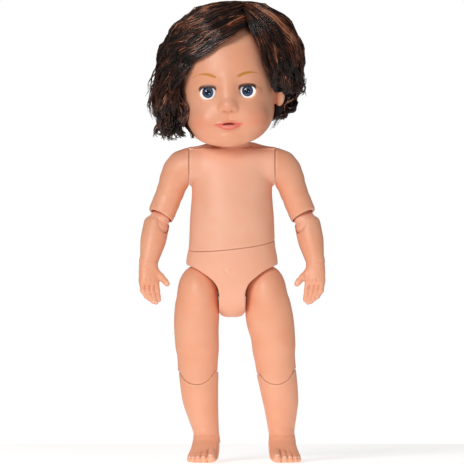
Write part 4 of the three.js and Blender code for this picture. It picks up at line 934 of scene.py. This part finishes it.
def head_skin(place):
    x, y, z = place
    head = evened(SKULL(place), HEAD_VOXEL)
    head = smooth_join(head, rod(place, "z", 18, GAP, 30), 3.0)
    for cheek in pair(*CHEEK):
        head = smooth_join(head, egg(place, *cheek), 9.0)
    head = smooth_join(head, egg(place, *CHIN), 5.0)
    for bowl in pair(*EYE_BOWL):
        head = smooth_cut(head, egg(place, *bowl), 8.0)
    # Nose
    head = smooth_join(head, chain(place, *NOSE_BRIDGE, 4.0), 7.0)
    nose = egg(place, *NOSE)
    for wing in pair(*NOSE_WING):
        nose = smooth_join(nose, egg(place, *wing), 1.4)
    head = smooth_join(head, nose, 3.0)
    # Mouth
    on_face = y < FACE_Y
    head = head + dent(0.5, x, 1.6) * step(z, 19.0, 21) * (1 - step(z, 26.5, 28.5)) * on_face
    head = smooth_join(head, egg(place, *UPPER_LIP), 1.6)
    head = smooth_join(head, egg(place, *LOWER_LIP), 2.0)
    at_mouth = (1 - step(np.abs(x), LIP_HALF - 4, LIP_HALF)) * on_face
    head = head + dent(0.7, z - MOUTH_Z, 0.6) * at_mouth
    head = head + 0.9 * step(parted(x, z), -0.4, 0.6) * on_face
    head = head + dent(0.6, z - 9.2, 2.4) * (1 - step(np.abs(x), 5, 11)) * on_face
    # Ears
    for side in (1, -1):
        ear_place = seen_from(move(side * 45.8, 2.5, 44) @ turn("z", side * EAR_TURN), place)
        ear = egg(ear_place, ORIGIN, (4.0, 7.2, 11.8))
        ear = smooth_cut(ear, egg(ear_place, (side * 3.9, -0.6, 0.5), (2.6, 4.2, 7.4)), 1.2)
        ear = smooth_join(ear, egg(ear_place, (side * 2.6, -2.8, -3.5), (1.6, 1.5, 3.2)), 1.0)
        head = smooth_join(head, ear, 2.2)
    # Eyelids
    for side in (1, -1):
        head = smooth_join(head, egg(place, (side * EYE_X, EYE_Y, EYE_Z), (LID_RADIUS,) * 3), 3.0)
        outside = eye_opening(place, side)
        head = head + dent(0.5, outside - 3.2, 0.8) * step(z, EYE_Z + 1, EYE_Z + 4) * (y < -20)
    return head


def eye_rooms(place, field):
    for side in (1, -1):
        centre = (side * EYE_X, EYE_Y, EYE_Z)
        outside = np.maximum(eye_opening(place, side), place[1] - EYE_Y)
        behind = np.maximum(egg(place, centre, (CUP_ROOM,) * 3), SKULL(place) + 3.0)
        shifted = tuple(p - c for p, c in zip(place, centre))
        field = smooth_cut(field, outside, 0.8)
        trunnions = rod(shifted, "x", TRUNNION_ROOM, -12.9, 12.9)
        field = pierced(field, egg(place, centre, (EYE_ROOM,) * 3), behind, trunnions)
    return field


def brow_paint(x, z, side):
    """Distance inside an eyebrow: thick near the nose, arched, thin at its outer end."""
    inner, outer = 10.9, 33.0
    along = np.clip((side * x - inner) / (outer - inner), 0, 1)
    height = 61.0 + 11.9 * along - 11.4 * along**2
    ends = np.maximum(np.maximum(inner - side * x, side * x - outer), 0)
    half = 0.3 + 1.05 * np.exp(-(((along - 0.2) / 0.34) ** 2))
    return half - np.sqrt((0.9 * (z - height)) ** 2 + ends**2)


def face_paint(points):
    """What the face's paint is laid out by, at each point of the head."""
    x, y, z = points.T
    front = y < -24
    lips = np.minimum(lip_top(x) - z, z - lip_foot(x))
    brow = np.maximum(brow_paint(x, z, 1), brow_paint(x, z, -1))
    lash = np.zeros(len(points))
    for side in (1, -1):
        outside = eye_opening((x, y, z), side)
        upper = step(z, EYE_Z - 0.5, EYE_Z + 2.5)
        wide = 1 - step(np.abs(x - side * EYE_X), 6.6, 9.8)
        lash = np.maximum(lash, upper * wide * (1 - step(outside, 1.0, 4.8)))
    # A reddish-brown band along the hairline: painted shade under the fringe
    hairline_shade = 1 - step(-hair_window(x, z), -1, 4.5)
    blush = sum(np.exp(-(((x - s * 27) / 11) ** 2 + ((z - 19) / 9) ** 2)) for s in (1, -1))
    nose = 0.4 * np.exp(-((x / 6) ** 2 + ((z - 32) / 5) ** 2))
    # Two soft dark spots under the nose: painted shade of the nostrils
    nostril_shade = np.exp(-(((np.abs(x) - 3.4) / 1.8) ** 2 + ((z - 28.3) / 0.9) ** 2))
    return {
        "lips": np.where(front, lips, -5),
        "parted": np.where(front, parted(x, z), -5),
        "brow": np.where(front, brow, -5),
        "lash": np.where(front, lash, 0),
        "blush": np.where(front, blush + nose, 0),
        "nostril_shade": np.where(front, nostril_shade, 0),
        "hairline_shade": hairline_shade * step(z, 40, 62) * (y < 0),
    }


def face_material():
    shader = new_shader("painted_face_vinyl")
    colour = skin_colour(shader, 0.2)
    # Painted shade along the hairline
    colour = shader.tint(colour, shader.layer("hairline_shade"), 0.0, 1.0, 0.75, linear(150, 66, 40))
    colour = shader.mix(shader.math("MULTIPLY", shader.layer("blush"), 0.38), colour, linear(232, 128, 98))
    # Painted shade of the nostrils
    colour = shader.tint(colour, shader.layer("nostril_shade"), 0.0, 1.0, 0.5, linear(176, 92, 60))
    lips = shader.layer("lips")
    lips_edge = shader.math("ADD", lips, shader.between(shader.noise(900.0, 2.0), 0.3, 0.7, -0.12, 0.12))
    lip_tone = shader.mix(shader.noise(420.0, 2.0), linear(240, 122, 106), linear(230, 100, 90))
    # Paler towards the middle of the lips: a painted highlight
    lip_tone = shader.tint(lip_tone, lips, 1.2, 2.8, 0.5, linear(246, 160, 146))
    colour = shader.tint(colour, lips_edge, -0.4, 0.5, 0.9, lip_tone)
    colour = shader.tint(colour, shader.layer("parted"), -0.3, 0.5, 0.95, linear(128, 22, 22))
    stretched = shader.node("Mapping", {"Vector": shader.place(), "Scale": (1.0, 0.3, 2.2)}).outputs[0]
    hairs = shader.noise(900.0, 2.0, stretched)
    brow_edge = shader.math("ADD", shader.layer("brow"), shader.between(hairs, 0.25, 0.75, -0.2, 0.2))
    colour = shader.tint(colour, brow_edge, -0.35, 0.45, 0.92, linear(200, 132, 44))
    colour = shader.tint(colour, shader.layer("lash"), 0.05, 0.9, 0.95, linear(58, 32, 22))
    return skin_finish(shader, colour, 0.4)


def build_head():
    low, high = (-53, -55, -6), (53, 58, 130)
    place = grid(low, high, HEAD_VOXEL)
    field = eye_rooms(place, head_skin(place))
    field = pierced(field, rod(place, "z", NECK_BORE, -50, 9), rod(place, "z", 13, 3.3, 30))
    piece = moulded("head_skin", field, low, HEAD_VOXEL, HEAD, face_paint)
    settle(piece, face_material(), "vinyl_skin", "head", "head_shell")


# Eyes, each in a frame at its own centre

def eye_white_material():
    shader = new_shader("eye_white")
    veins = shader.noise(300.0, 4.0)
    colour = shader.tint(linear(255, 255, 254), veins, 0.4, 0.8, 1.0, linear(246, 243, 241))
    lid = shader.layer("lid")
    colour = shader.tint(colour, lid, -0.1, 0.1, 1.0, shader.mix(shader.noise(60.0), SKIN, SKIN_WARM))
    colour = shader.tint(colour, shader.layer("lash"), 0.0, 0.5, 1.0, linear(42, 24, 18))
    # The white glows faintly below the lid's edge: painted light that brightens it
    painted_glow = shader.between(lid, -0.9, -0.3, 0.3, 0.0)
    return shader.finish(
        colour, shader.between(veins, 0.3, 0.7, 0.1, 0.16), Specular_IOR_Level=0.5, Coat_Weight=0.4,
        Coat_Roughness=0.05, Emission_Color=WHITE, Emission_Strength=painted_glow,
    )


def iris_material():
    """Blue rings with fine spokes, a dark rim and a black pupil, laid out by radius and angle."""
    shader = new_shader("iris")
    radius, angle = shader.layer("radius"), shader.layer("angle")
    spread = {"X": shader.math("MULTIPLY", angle, 14.0), "Y": shader.math("MULTIPLY", radius, 0.9)}
    spokes = shader.noise(1.6, 3.0, shader.node("CombineXYZ", spread).outputs[0])
    ring = shader.tint(linear(48, 90, 134), spokes, 0.35, 0.7, 1.0, linear(92, 138, 180))
    inner = shader.mix(spokes, linear(20, 38, 70), linear(40, 72, 112))
    colour = shader.tint(inner, radius, 2.5, 3.1, 1.0, ring)
    colour = shader.tint(colour, radius, 3.7, 4.4, 1.0, linear(30, 58, 98))
    colour = shader.tint(colour, radius, 4.5, 5.1, 1.0, linear(18, 30, 56))
    colour = shader.tint(colour, radius, 2.2, 1.9, 1.0, linear(6, 6, 8))
    return shader.finish(colour, 0.5, shader.bump(spokes, 0.2, 0.0002), Specular_IOR_Level=0.05)


def lens_material():
    """A clear dome: see-through with a glossy skin, faintly uneven."""
    shader = new_shader("clear_lens")
    haze = shader.between(shader.noise(500.0), 0.3, 0.7, 0.02, 0.05)
    gloss = shader.surface("BsdfGlossy", {"Color": WHITE, "Roughness": haze})
    clear = shader.surface("BsdfTransparent", {"Color": (0.97, 0.985, 1, 1)})
    share = shader.surface("Fresnel", {"IOR": 1.45})
    return shader.show(shader.surface("MixShader", {0: share, 1: clear, 2: gloss}))


def turned(profile, count):
    """Points and faces of a closed form turned about Y from (radius, y) pairs, first and last on the axis."""
    points = [(0, profile[0][1], 0)]
    for radius, y in profile[1:-1]:
        for i in range(count):
            angle = 2 * math.pi * i / count
            points.append((radius * math.sin(angle), y, radius * math.cos(angle)))
    points.append((0, profile[-1][1], 0))
    rings = len(profile) - 2
    last = 1 + (rings - 1) * count
    faces = []
    for i in range(count):
        nxt = (i + 1) % count
        faces.append((0, 1 + i, 1 + nxt))
        for a in range(1, last, count):
            faces.append((a + i, a + count + i, a + count + nxt, a + nxt))
        faces.append((last + nxt, last + i, len(points) - 1))
    return np.array(points, float), faces


IRIS_RADIUS = 5.15
PUPIL_RADIUS = 2.1
EYE_SIDES = 72
LID_EDGE = 30
LASH_LINE = 28
LENGTH_PER_DEGREE = 0.18


def iris_depth(radius):
    """Place of the iris's face along Y: a shallow dish with a sunk pupil."""
    if radius > PUPIL_RADIUS:
        return -7.35 - 0.5 * (radius / IRIS_RADIUS) ** 2
    return -7.2 - 0.1 * (radius / PUPIL_RADIUS)


def build_eye(name, side, white, iris, lens):
    matrix = HEAD @ move(side * EYE_X, EYE_Y, EYE_Z)
    low, high = (-13.5, -11.5, -11.5), (13.5, 11.5, 11.5)
    place = grid(low, high, EYE_VOXEL)
    field = egg(place, ORIGIN, (EYE_RADIUS,) * 3)
    field = smooth_join(field, rod(place, "x", 1.3, -12.2, 12.2), 0.4)
    field = smooth_cut(field, rod(place, "y", 5.5, -50, -7.0), 0.3)
    field = pierced(field, rod(place, "z", 3.5, -50, -4.0))

    def layers(points):
        rise = np.degrees(np.arctan2(points[:, 2], -points[:, 1]))
        lid = (rise - LID_EDGE) * LENGTH_PER_DEGREE * (np.abs(rise) < 170)
        return {"lid": lid, "lash": 0.9 - np.abs(rise - LASH_LINE) * LENGTH_PER_DEGREE}

    piece = moulded(f"{name}_eyeball_white", field, low, EYE_VOXEL, matrix, layers)
    settle(piece, white, "eye_white", f"{name}_eye", f"{name}_eyeball")

    dish = [(r, iris_depth(r)) for r in np.linspace(0, IRIS_RADIUS, 15)]
    points, faces = turned([*dish, (IRIS_RADIUS, -7.1), (0, -7.1)], EYE_SIDES)
    layout = {
        "radius": np.hypot(points[:, 0], points[:, 2]),
        "angle": np.abs(np.arctan2(points[:, 0], points[:, 2])),
    }
    disc = add_mesh(f"{name}_iris_disc", points, faces, matrix, layout)
    settle(disc, iris, "iris", f"{name}_eye", f"{name}_iris")

    dome = [(r, -math.sqrt((EYE_RADIUS - 0.02) ** 2 - r * r)) for r in np.linspace(0, IRIS_RADIUS, 16)]
    points, faces = turned([*dome, (IRIS_RADIUS, -8.1), (0, -8.1)], EYE_SIDES)
    cap = add_mesh(f"{name}_eye_dome", points, faces, matrix)
    settle(cap, lens, "lens", f"{name}_eye", f"{name}_eye_lens")


# Hair, in the head's frame: locks of fine strands combed from a side parting over a darker base

HAIR = Loft([
    (0, 46, 15, 54, -9), (8, 56, 24, 61, -9), (22, 63, 30, 65, -7), (38, 70, 36, 67, -5),
    (51, 71, 44, 68, -2), (62, 70, 49, 68, 0.6), (74, 71, 50, 67, 0.9), (86, 68.6, 50, 65, 2.1),
    (100, 62.6, 48, 60, 3.6), (108, 57.4, 45, 55, 4.3), (114, 52.2, 41, 50, 4.8), (120, 44, 35, 43, 5),
    (125, 35.5, 28, 34.5, 4.6), (128.5, 26.5, 21, 26, 4.2), (130.6, 17, 13, 17, 3.6), (131.5, 8, 7, 9, 3),
], power=2.1)
HAIR_MIDDLE = np.array([2.0, 4.0, 60.0])
PARTING = np.array([(19, -36, 104.5), (16, -20, 121), (12, 4, 130), (8, 28, 125), (5, 44, 113)], float)
STRAND_STEPS = 23
STRANDS_PER_LOCK = 13
LOCKS_PER_CURL = 7
STRAND_RADIUS = 0.46
LOWEST_HAIR = 2.4
HAIR_DARK = linear(20, 9, 7)
HAIR_BROWN = linear(98, 50, 32)
# The palest strands' colour is a painted highlight
HAIR_HIGHLIGHT = linear(184, 122, 90)
BASE_VOXEL = 1.3


def unit(vectors):
    return vectors / np.maximum(np.linalg.norm(vectors, axis=-1, keepdims=True), 1e-9)


def toward(azimuth, elevation):
    """Direction by an angle round the head, 0 at the face and + to the doll's left, and one above level."""
    a, e = np.radians(azimuth), np.radians(elevation)
    return np.stack([np.sin(a) * np.cos(e), -np.cos(a) * np.cos(e), np.sin(e)], axis=-1)


def hair_reach(directions):
    """Distance from the hair's middle to its outer surface along each direction."""
    near = np.full(directions.shape[:-1], 20.0)
    far = np.full(directions.shape[:-1], 125.0)
    for _ in range(22):
        half_way = (near + far) / 2
        spot = HAIR_MIDDLE + directions * half_way[..., None]
        inside = HAIR(tuple(np.moveaxis(spot, -1, 0).astype(np.float32))) < 0
        near, far = np.where(inside, half_way, near), np.where(inside, far, half_way)
    return near


def hem_way(azimuth, height):
    """Direction from the hair's middle to a place on its outer surface."""
    half, front, back, mid_x, _ = HAIR.ring(height)
    a = np.radians(azimuth)
    depth = np.where(np.cos(a) > 0, front, back)
    reach = ((np.abs(np.sin(a)) / half) ** 2.1 + (np.abs(np.cos(a)) / depth) ** 2.1) ** (-1 / 2.1)
    return unit(np.stack([mid_x + reach * np.sin(a), -reach * np.cos(a), height], axis=-1) - HAIR_MIDDLE)


def parting_way(share):
    at = np.clip(share, 0, 1) * (len(PARTING) - 1)
    spot = np.stack([np.interp(at, range(len(PARTING)), PARTING[:, k]) for k in range(3)], axis=-1)
    return unit(spot - HAIR_MIDDLE)


def comb(rng, ways, root_depth, tip_depth, wave, wavelength, phase, flick, onset=0.15):
    """Middle lines of locks over the hair's surface, by four directions each: points (lock, step, xyz) and
    the outward direction at each point."""
    start, first, second, end = [way[:, None] for way in ways]
    s = np.linspace(0, 1, STRAND_STEPS)
    t = s[None, :, None]
    out = unit((1 - t) ** 3 * start + 3 * t * (1 - t) ** 2 * first + 3 * t**2 * (1 - t) * second + t**3 * end)
    depth = root_depth[:, None] * (1 - s) + tip_depth[:, None] * s**1.5
    line = HAIR_MIDDLE + out * (hair_reach(out) - depth)[..., None]
    across = unit(np.cross(unit(np.gradient(line, axis=1)), out))
    travelled = np.cumsum(np.linalg.norm(np.diff(line, axis=1, prepend=line[:, :1]), axis=-1), axis=1)
    start_phase = phase[:, None] + rng.uniform(-0.5, 0.5, len(wave))[:, None]
    phase = start_phase + 2 * np.pi * travelled / wavelength[:, None]
    grow = wave[:, None] * (0.15 + 0.85 * step(s, onset, onset + 0.5))
    line = line + across * (grow * np.sin(phase))[..., None]
    line = line + out * (0.7 * grow * np.cos(phase) - 0.5 * grow)[..., None]
    lift = flick[:, None] * step(s, 0.7, 1.0) ** 1.5
    line = line + out * lift[..., None] * np.array([1, 1, 0.2])
    line[..., 2] += 0.45 * lift
    return line, out


def keep_clear(line, out):
    """Pushes hair out of the head and keeps it above the shoulders."""
    for _ in range(2):
        depth = SKULL(tuple(np.moveaxis(line, -1, 0).astype(np.float32)))
        line = line + out * np.clip(1.4 - depth, 0, 9)[..., None]
    low, ease = LOWEST_HAIR + 0.5, 4
    over = line[..., 2] - low - ease
    line[..., 2] = np.where(line[..., 2] < low + ease, low + ease * np.exp(over / ease), line[..., 2])
    return line


def strands_of(rng, line, out, spread):
    """Fine strands bundled round each lock's middle line, drawn together at the tip."""
    locks, steps, _ = line.shape
    n = STRANDS_PER_LOCK
    angle = rng.uniform(0, 2 * np.pi, (locks, n))
    radius = np.sqrt(rng.uniform(0, 1, (locks, n)))
    s = np.linspace(0, 1, steps)
    along = unit(np.gradient(line, axis=1))
    across = unit(np.cross(along, out))
    bundle = (0.5 + 0.5 * np.sin(np.pi * np.clip(s * 1.1, 0, 1) ** 0.8)) * (1 - 0.72 * s**5)
    wide = spread[:, None, None] * bundle[None, None, :] * radius[..., None]
    sway = rng.uniform(0.15, 0.55, (locks, n, 1)) * np.sin(
        rng.uniform(0, 6.3, (locks, n, 1)) + s[None, None] * rng.uniform(8, 17, (locks, n, 1)))
    sideways = wide * np.cos(angle)[..., None] + sway
    upward = 0.55 * wide * np.sin(angle)[..., None] + 0.5 * sway
    paths = line[:, None] + across[:, None] * sideways[..., None] + out[:, None] * upward[..., None]
    cut = rng.uniform(0.9, 1.0, (locks, n, 1)) * s[None, None] * (steps - 1)
    low = np.clip(np.floor(cut).astype(int), 0, steps - 2)
    share = (cut - low)[..., None]
    first = np.take_along_axis(paths, low[..., None].repeat(3, -1), axis=2)
    second = np.take_along_axis(paths, low[..., None].repeat(3, -1) + 1, axis=2)
    paths = first + (second - first) * share
    outs = np.broadcast_to(out[:, None], paths.shape)
    return keep_clear(paths.reshape(-1, steps, 3), outs.reshape(-1, steps, 3)), outs.reshape(-1, steps, 3)


def strand_mesh(paths, outs):
    """Three-sided tapered tubes along paths."""
    count, steps, _ = paths.shape
    along = unit(np.gradient(paths, axis=1))
    side = unit(np.cross(along, outs))
    up = np.cross(side, along)
    s = np.linspace(0, 1, steps)
    radius = STRAND_RADIUS * (0.75 + 0.25 * step(s, 0, 0.2)) * (1 - 0.78 * step(s, 0.6, 1.0))
    points = np.empty((count, steps, 3, 3))
    for k in range(3):
        angle = 2 * np.pi * k / 3 + np.pi / 2
        points[:, :, k] = paths + (side * math.cos(angle) + up * math.sin(angle)) * radius[None, :, None]
    ring = np.arange(steps - 1)[:, None] * 3
    k, nxt = np.array([0, 1, 2]), np.array([1, 2, 0])
    a, b = ring + k, ring + nxt
    quads = np.stack([a, b, b + 3, a + 3], axis=-1).reshape(-1, 4)
    tris = np.concatenate([quads[:, [0, 1, 2]], quads[:, [0, 2, 3]]])
    last = (steps - 1) * 3
    tris = np.concatenate([tris, [(0, 2, 1), (last, last + 1, last + 2)]])
    faces = (tris[None] + (np.arange(count) * steps * 3)[:, None, None]).reshape(-1, 3)
    return points.reshape(-1, 3), faces


def hair_material():
    shader = new_shader("hair_fibre")
    tone, along = shader.layer("tone"), shader.layer("along")
    shade = shader.math("ADD", tone, shader.between(shader.noise(70.0), 0.3, 0.7, -0.26, 0.26))
    # Paler near the roots: a painted sheen
    crown = shader.math("MULTIPLY", shader.between(along, 0.05, 0.2), shader.between(along, 0.55, 0.3))
    shade = shader.math("ADD", shade, shader.math("MULTIPLY", crown, 0.1))
    # Darker past the middle of each strand: painted shade on the lower hair
    shade = shader.math("SUBTRACT", shade, shader.between(along, 0.45, 0.65, 0.0, 0.14))
    colour = shader.tint(HAIR_DARK, shade, 0.35, 0.9, 1.0, HAIR_BROWN)
    # Strands differ in tone at random; the palest take a painted highlight colour
    colour = shader.tint(colour, shade, 0.86, 1.2, 1.0, HAIR_HIGHLIGHT)
    colour = shader.tint(colour, along, 0.8, 1.0, 0.35, HAIR_BROWN)
    rough = shader.between(tone, 0.0, 1.0, 0.34, 0.22)
    return shader.finish(colour, rough, Specular_IOR_Level=0.6, Coat_Weight=0.1, Coat_Roughness=0.2)


def lock_piece(name, rng, material, nodes, locks, width):
    line, out = locks
    spread = width * rng.uniform(0.7, 1.3, len(line))
    paths, outs = strands_of(rng, line, out, spread)
    points, faces = strand_mesh(paths, outs)
    per_lock = rng.uniform(0, 0.5, len(line)).repeat(STRANDS_PER_LOCK)
    tone = per_lock + 0.75 * rng.uniform(0, 1, len(paths)) ** 2.2
    layers = {
        "tone": tone.repeat(STRAND_STEPS * 3),
        "along": np.tile(np.linspace(0, 1, STRAND_STEPS).repeat(3), len(paths)),
    }
    piece = add_mesh(name, points, faces, HEAD, layers)
    settle(piece, material, "hair", "head", *nodes)


# How locks fall on each side, by angle from the face: bent lines of angles and values
RIGHT_FALL = {
    "side": -1, "start": 58, "span": 122, "stray": (-0.08, 0.08), "wave": (2.2, 4.2), "wavelength": (27, 31),
    "hem": ([58, 75, 95, 130, 180], [14, 6, 3, 3, 4]),
    "rise": ([58, 70, 130, 150], [4, 14, 14, 0]),
    "layers": ([58, 75, 95, 180], [14, 30, 34, 36]),
    "first": (([58, 90, 180], [10, 42, 150]), ([58, 90, 180], [22, 50, 60])),
    "second": (([58, 90, 180], [58, 86, 176]), ([58, 90, 180], [21, 30, 30])),
    "flick": ([58, 75, 100, 180], [1, 8, 10, 5]),
    "inner": ([58, 180], [9, 9]),
}
LEFT_TURNS = [80, 95, 110, 130, 180]
LEFT_FALL = {
    "side": 1, "start": 80, "span": 100, "stray": (-0.06, 0.1), "wave": (1.8, 3.6), "wavelength": (28, 32),
    "hem": (LEFT_TURNS, [46, 41, 20, 4, 4]),
    "rise": ([80, 180], [0, 0]),
    "layers": (LEFT_TURNS, [8, 12, 24, 36, 36]),
    "first": ((LEFT_TURNS, [35, 40, 52, 75, 150]), (LEFT_TURNS, [17, 20, 34, 46, 60])),
    "second": ((LEFT_TURNS, [47, 56, 88, 115, 176]), (LEFT_TURNS, [-27, -19, 8, 24, 30])),
    "flick": (LEFT_TURNS, [4, 10, 7, 5, 5]),
    "inner": (LEFT_TURNS, [8, 9, 11, 9, 9]),
}


def falling_locks(rng, fall, count, low, high):
    """Locks that fall from the parting to the hem, over the forehead or the ear, and round to the nape."""
    azimuth = np.linspace(low, high, count) + rng.uniform(-4, 4, count)
    away = fall["side"] * azimuth

    def at(curve):
        return np.interp(away, *curve)

    def by(curves, stray):
        return toward(fall["side"] * at(curves[0]) + stray[0], at(curves[1]) + stray[1])

    layer = rng.uniform(0, 1, count) ** 2
    hem = at(fall["hem"]) + rng.uniform(0, 4, count)
    height = hem + at(fall["rise"]) + layer * at(fall["layers"])
    sway = rng.uniform(-4, 4, (4, count))
    root = ((away - fall["start"]) / fall["span"]).clip(0, 1) ** 0.8 + rng.uniform(*fall["stray"], count)
    first, second = by(fall["first"], sway[:2]), by(fall["second"], sway[2:])
    ways = (parting_way(root), first, second, hem_way(azimuth, height))
    flick = rng.uniform(0, 1, count) * at(fall["flick"])
    return comb(
        rng, ways, rng.uniform(0, 4, count), rng.uniform(0, 1, count) * at(fall["inner"]),
        rng.uniform(*fall["wave"], count), rng.uniform(*fall["wavelength"], count), azimuth / 4.5, flick,
    )


def curls(rng, groups, low, high, hems, reach):
    """Loose ringlets below the sides of the head, each made of locks that wind together."""
    def shared(least, most, stray):
        return rng.uniform(least, most, groups).repeat(LOCKS_PER_CURL) + rng.uniform(-stray, stray, count)

    count = groups * LOCKS_PER_CURL
    azimuth = np.linspace(low, high, groups).repeat(LOCKS_PER_CURL) + rng.uniform(-3, 3, count)
    top = shared(36, 58, 3)
    height = np.minimum(shared(*hems, 2), top - 20)
    start, end = hem_way(azimuth, top), hem_way(azimuth + shared(-6, 6, 2), height)
    ways = (start, unit(2 * start + end), unit(start + 2 * end), end)
    return comb(rng, ways, shared(2, 8, 1.5), shared(-4, 7, 1.5), shared(4.6, 7.0, 0.5), shared(21, 27, 1),
                shared(0, 6.3, 0.2), shared(0, reach, 1), onset=0.02)


def hair_window(x, z):
    """The face's opening in the hair, seen from the front, negative inside."""
    points = [
        (60, -90), (60, 42), (48, 47),
        *bezier((40, 54), (35, 66), (32, 88), (20.5, 106)),
        *bezier((19, 106), (2, 100), (-18, 82), (-39, 72)),
        *bezier((-40, 70), (-45, 60), (-46, 50), (-46, 36)),
        (-47, -90),
    ]
    return outline_distance(x, z, points)


def build_hair_base(material):
    low, high = (-78, -52, 1.5), (78, 72, 131)
    place = grid(low, high, BASE_VOXEL)
    x, y, z = place
    angle = np.arctan2(x, -y)
    waves = 0.9 * np.sin(34 * angle + 0.11 * z + 1.5 * np.sin(0.09 * z)) * step(z, 122, 100)
    field = smooth_cut(HAIR(place) + 6.5 + waves, SKULL(place) - 0.6, 0.6)
    field = smooth_cut(field, np.maximum(hair_window(x, z) - 4.0, y + 6), 2.0)
    ear_room = np.maximum(np.maximum(36 - x, y - 9), z - 58)
    field = smooth_cut(field, ear_room, 2.0)
    neck_room = np.maximum(np.sqrt(x * x + y * y) - 34, z - 40)
    field = smooth_cut(field, neck_room, 3.0)
    field = np.maximum(field, 20 + 3 * np.sin(7 * angle) - z)
    points, faces = skin_of(field, low, BASE_VOXEL)
    layers = {"tone": np.full(len(points), 0.05), "along": np.full(len(points), 0.3)}
    piece = add_mesh("hair_base", points, faces, HEAD, layers)
    settle(piece, material, "hair", "head", "hair_crown")


def build_hair():
    rng = np.random.default_rng(20)
    material = hair_material()
    build_hair_base(material)
    for name, nodes, fall, count, low, high in (
        ("hair_locks_right", ["hair_curls_right"], RIGHT_FALL, 110, -56, -128),
        ("hair_locks_left", ["hair_curls_left"], LEFT_FALL, 100, 80, 130),
        ("hair_locks_back_right", ["hair_curls_back"], RIGHT_FALL, 64, -120, -184),
        ("hair_locks_back_left", [], LEFT_FALL, 64, 124, 184),
    ):
        lock_piece(name, rng, material, nodes, falling_locks(rng, fall, count, low, high), 3.6)
    lock_piece("hair_ringlets_right", rng, material, [], curls(rng, 16, -140, -58, (2, 13), 9), 2.4)
    lock_piece("hair_ringlets_left", rng, material, [], curls(rng, 8, 98, 150, (4, 30), 9), 2.2)


# Fittings that the CAD model already shows rightly

def fitting_material(name, colour, darker, roughness, metal=0.0):
    shader = new_shader(name)
    tone = shader.tint(colour, shader.noise(140.0, 4.0), 0.35, 0.7, 1.0, darker)
    scuffs = shader.noise(1200.0, 3.0)
    rough = shader.between(scuffs, 0.3, 0.75, roughness - 0.08, roughness + 0.1)
    return shader.finish(tone, rough, shader.bump(scuffs, 0.08, 0.0001), Metallic=metal)


def dress_fittings():
    inner = fitting_material("inner_plastic", linear(216, 210, 198), linear(196, 188, 174), 0.5)
    steel = fitting_material("steel", linear(158, 161, 164), linear(132, 134, 138), 0.34, 1.0)
    for name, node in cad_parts.items():
        shown = None
        if name.endswith(("_spool", "_eye_cup", "_knee_hinge")):
            shown = inner
        elif name.endswith(("_pin", "_weight", "hip_axle")):
            shown = steel
        if shown:
            node.data.materials.clear()
            node.data.materials.append(shown)


# Stage

CAMERA_DISTANCE = 6.0
CAMERA_HEIGHT = 0.2145
FRAME_WIDTH = 0.4338
SENSOR = 36.0


def build_stage():
    shader = new_shader("pale_floor")
    tone = shader.mix(shader.noise(6.0), (0.74, 0.74, 0.74, 1), (0.78, 0.78, 0.78, 1))
    lit = shader.surface("BsdfDiffuse", {"Color": tone})
    glow = shader.surface("Emission", {"Color": WHITE, "Strength": 0.6})
    bpy.ops.mesh.primitive_plane_add(size=1.0, location=(0, 0, -0.0004))
    floor = bpy.context.object
    floor.name = "floor"
    floor.data.materials.append(shader.show(shader.surface("AddShader", {0: lit, 1: glow})))

    shader = Shader(bpy.data.worlds.new("plain_white"))
    seen = shader.node("LightPath").outputs["Is Camera Ray"]
    sky = shader.surface("Background", {"Color": (1.0, 0.95, 0.91, 1), "Strength": 0.22})
    white = shader.surface("Background", {"Color": WHITE, "Strength": 1.0})
    both = shader.surface("MixShader", {0: seen, 1: sky, 2: white})
    bpy.context.scene.world = shader.show(both, "OutputWorld")


def lamp(name, place, target, size, power, mirrored=False):
    data = bpy.data.lights.new(name, "AREA")
    data.shape = "RECTANGLE"
    data.size, data.size_y = size
    data.energy = power
    thing = bpy.data.objects.new(name, data)
    thing.location = place
    thing.visible_glossy = mirrored
    aim(thing, target)
    bpy.context.scene.collection.objects.link(thing)


def aim(thing, target):
    thing.rotation_euler = (Vector(target) - thing.location).to_track_quat("-Z", "Y").to_euler()


def build_lights_and_camera():
    middle = (0, 0, 0.22)
    lamp("key", (-0.95, -2.0, 1.1), middle, (0.8, 1.0), 31, mirrored=True)
    lamp("fill", (0.9, -2.2, 0.3), middle, (0.9, 1.3), 9)
    lamp("rim_left", (-1.2, 0.8, 0.8), middle, (0.3, 1.2), 3)
    lamp("rim_right", (1.2, 0.8, 0.7), middle, (0.3, 1.2), 3)
    data = bpy.data.cameras.new("camera")
    data.sensor_width = SENSOR
    data.lens = SENSOR * CAMERA_DISTANCE / FRAME_WIDTH
    camera = bpy.data.objects.new("camera", data)
    camera.location = (0, DOLL[1, 3] / MILLIMETRES - CAMERA_DISTANCE, CAMERA_HEIGHT)
    camera.rotation_euler = (math.pi / 2, 0, 0)
    bpy.context.scene.collection.objects.link(camera)
    bpy.context.scene.camera = camera
    bpy.context.scene.view_settings.view_transform = "Standard"


build_torso()
build_pelvis()
for limb_name, limb_side in SIDES:
    build_thigh(limb_name, limb_side)
    build_shin(limb_name, limb_side)
    build_upper_arm(limb_name, limb_side)
    build_knuckle(limb_name, limb_side)
    build_forearm(limb_name, limb_side)
build_head()
eye_white, iris_blue, clear_dome = eye_white_material(), iris_material(), lens_material()
for eye_name, eye_side in SIDES:
    build_eye(eye_name, eye_side, eye_white, iris_blue, clear_dome)
build_hair()
dress_fittings()
build_stage()
build_lights_and_camera()
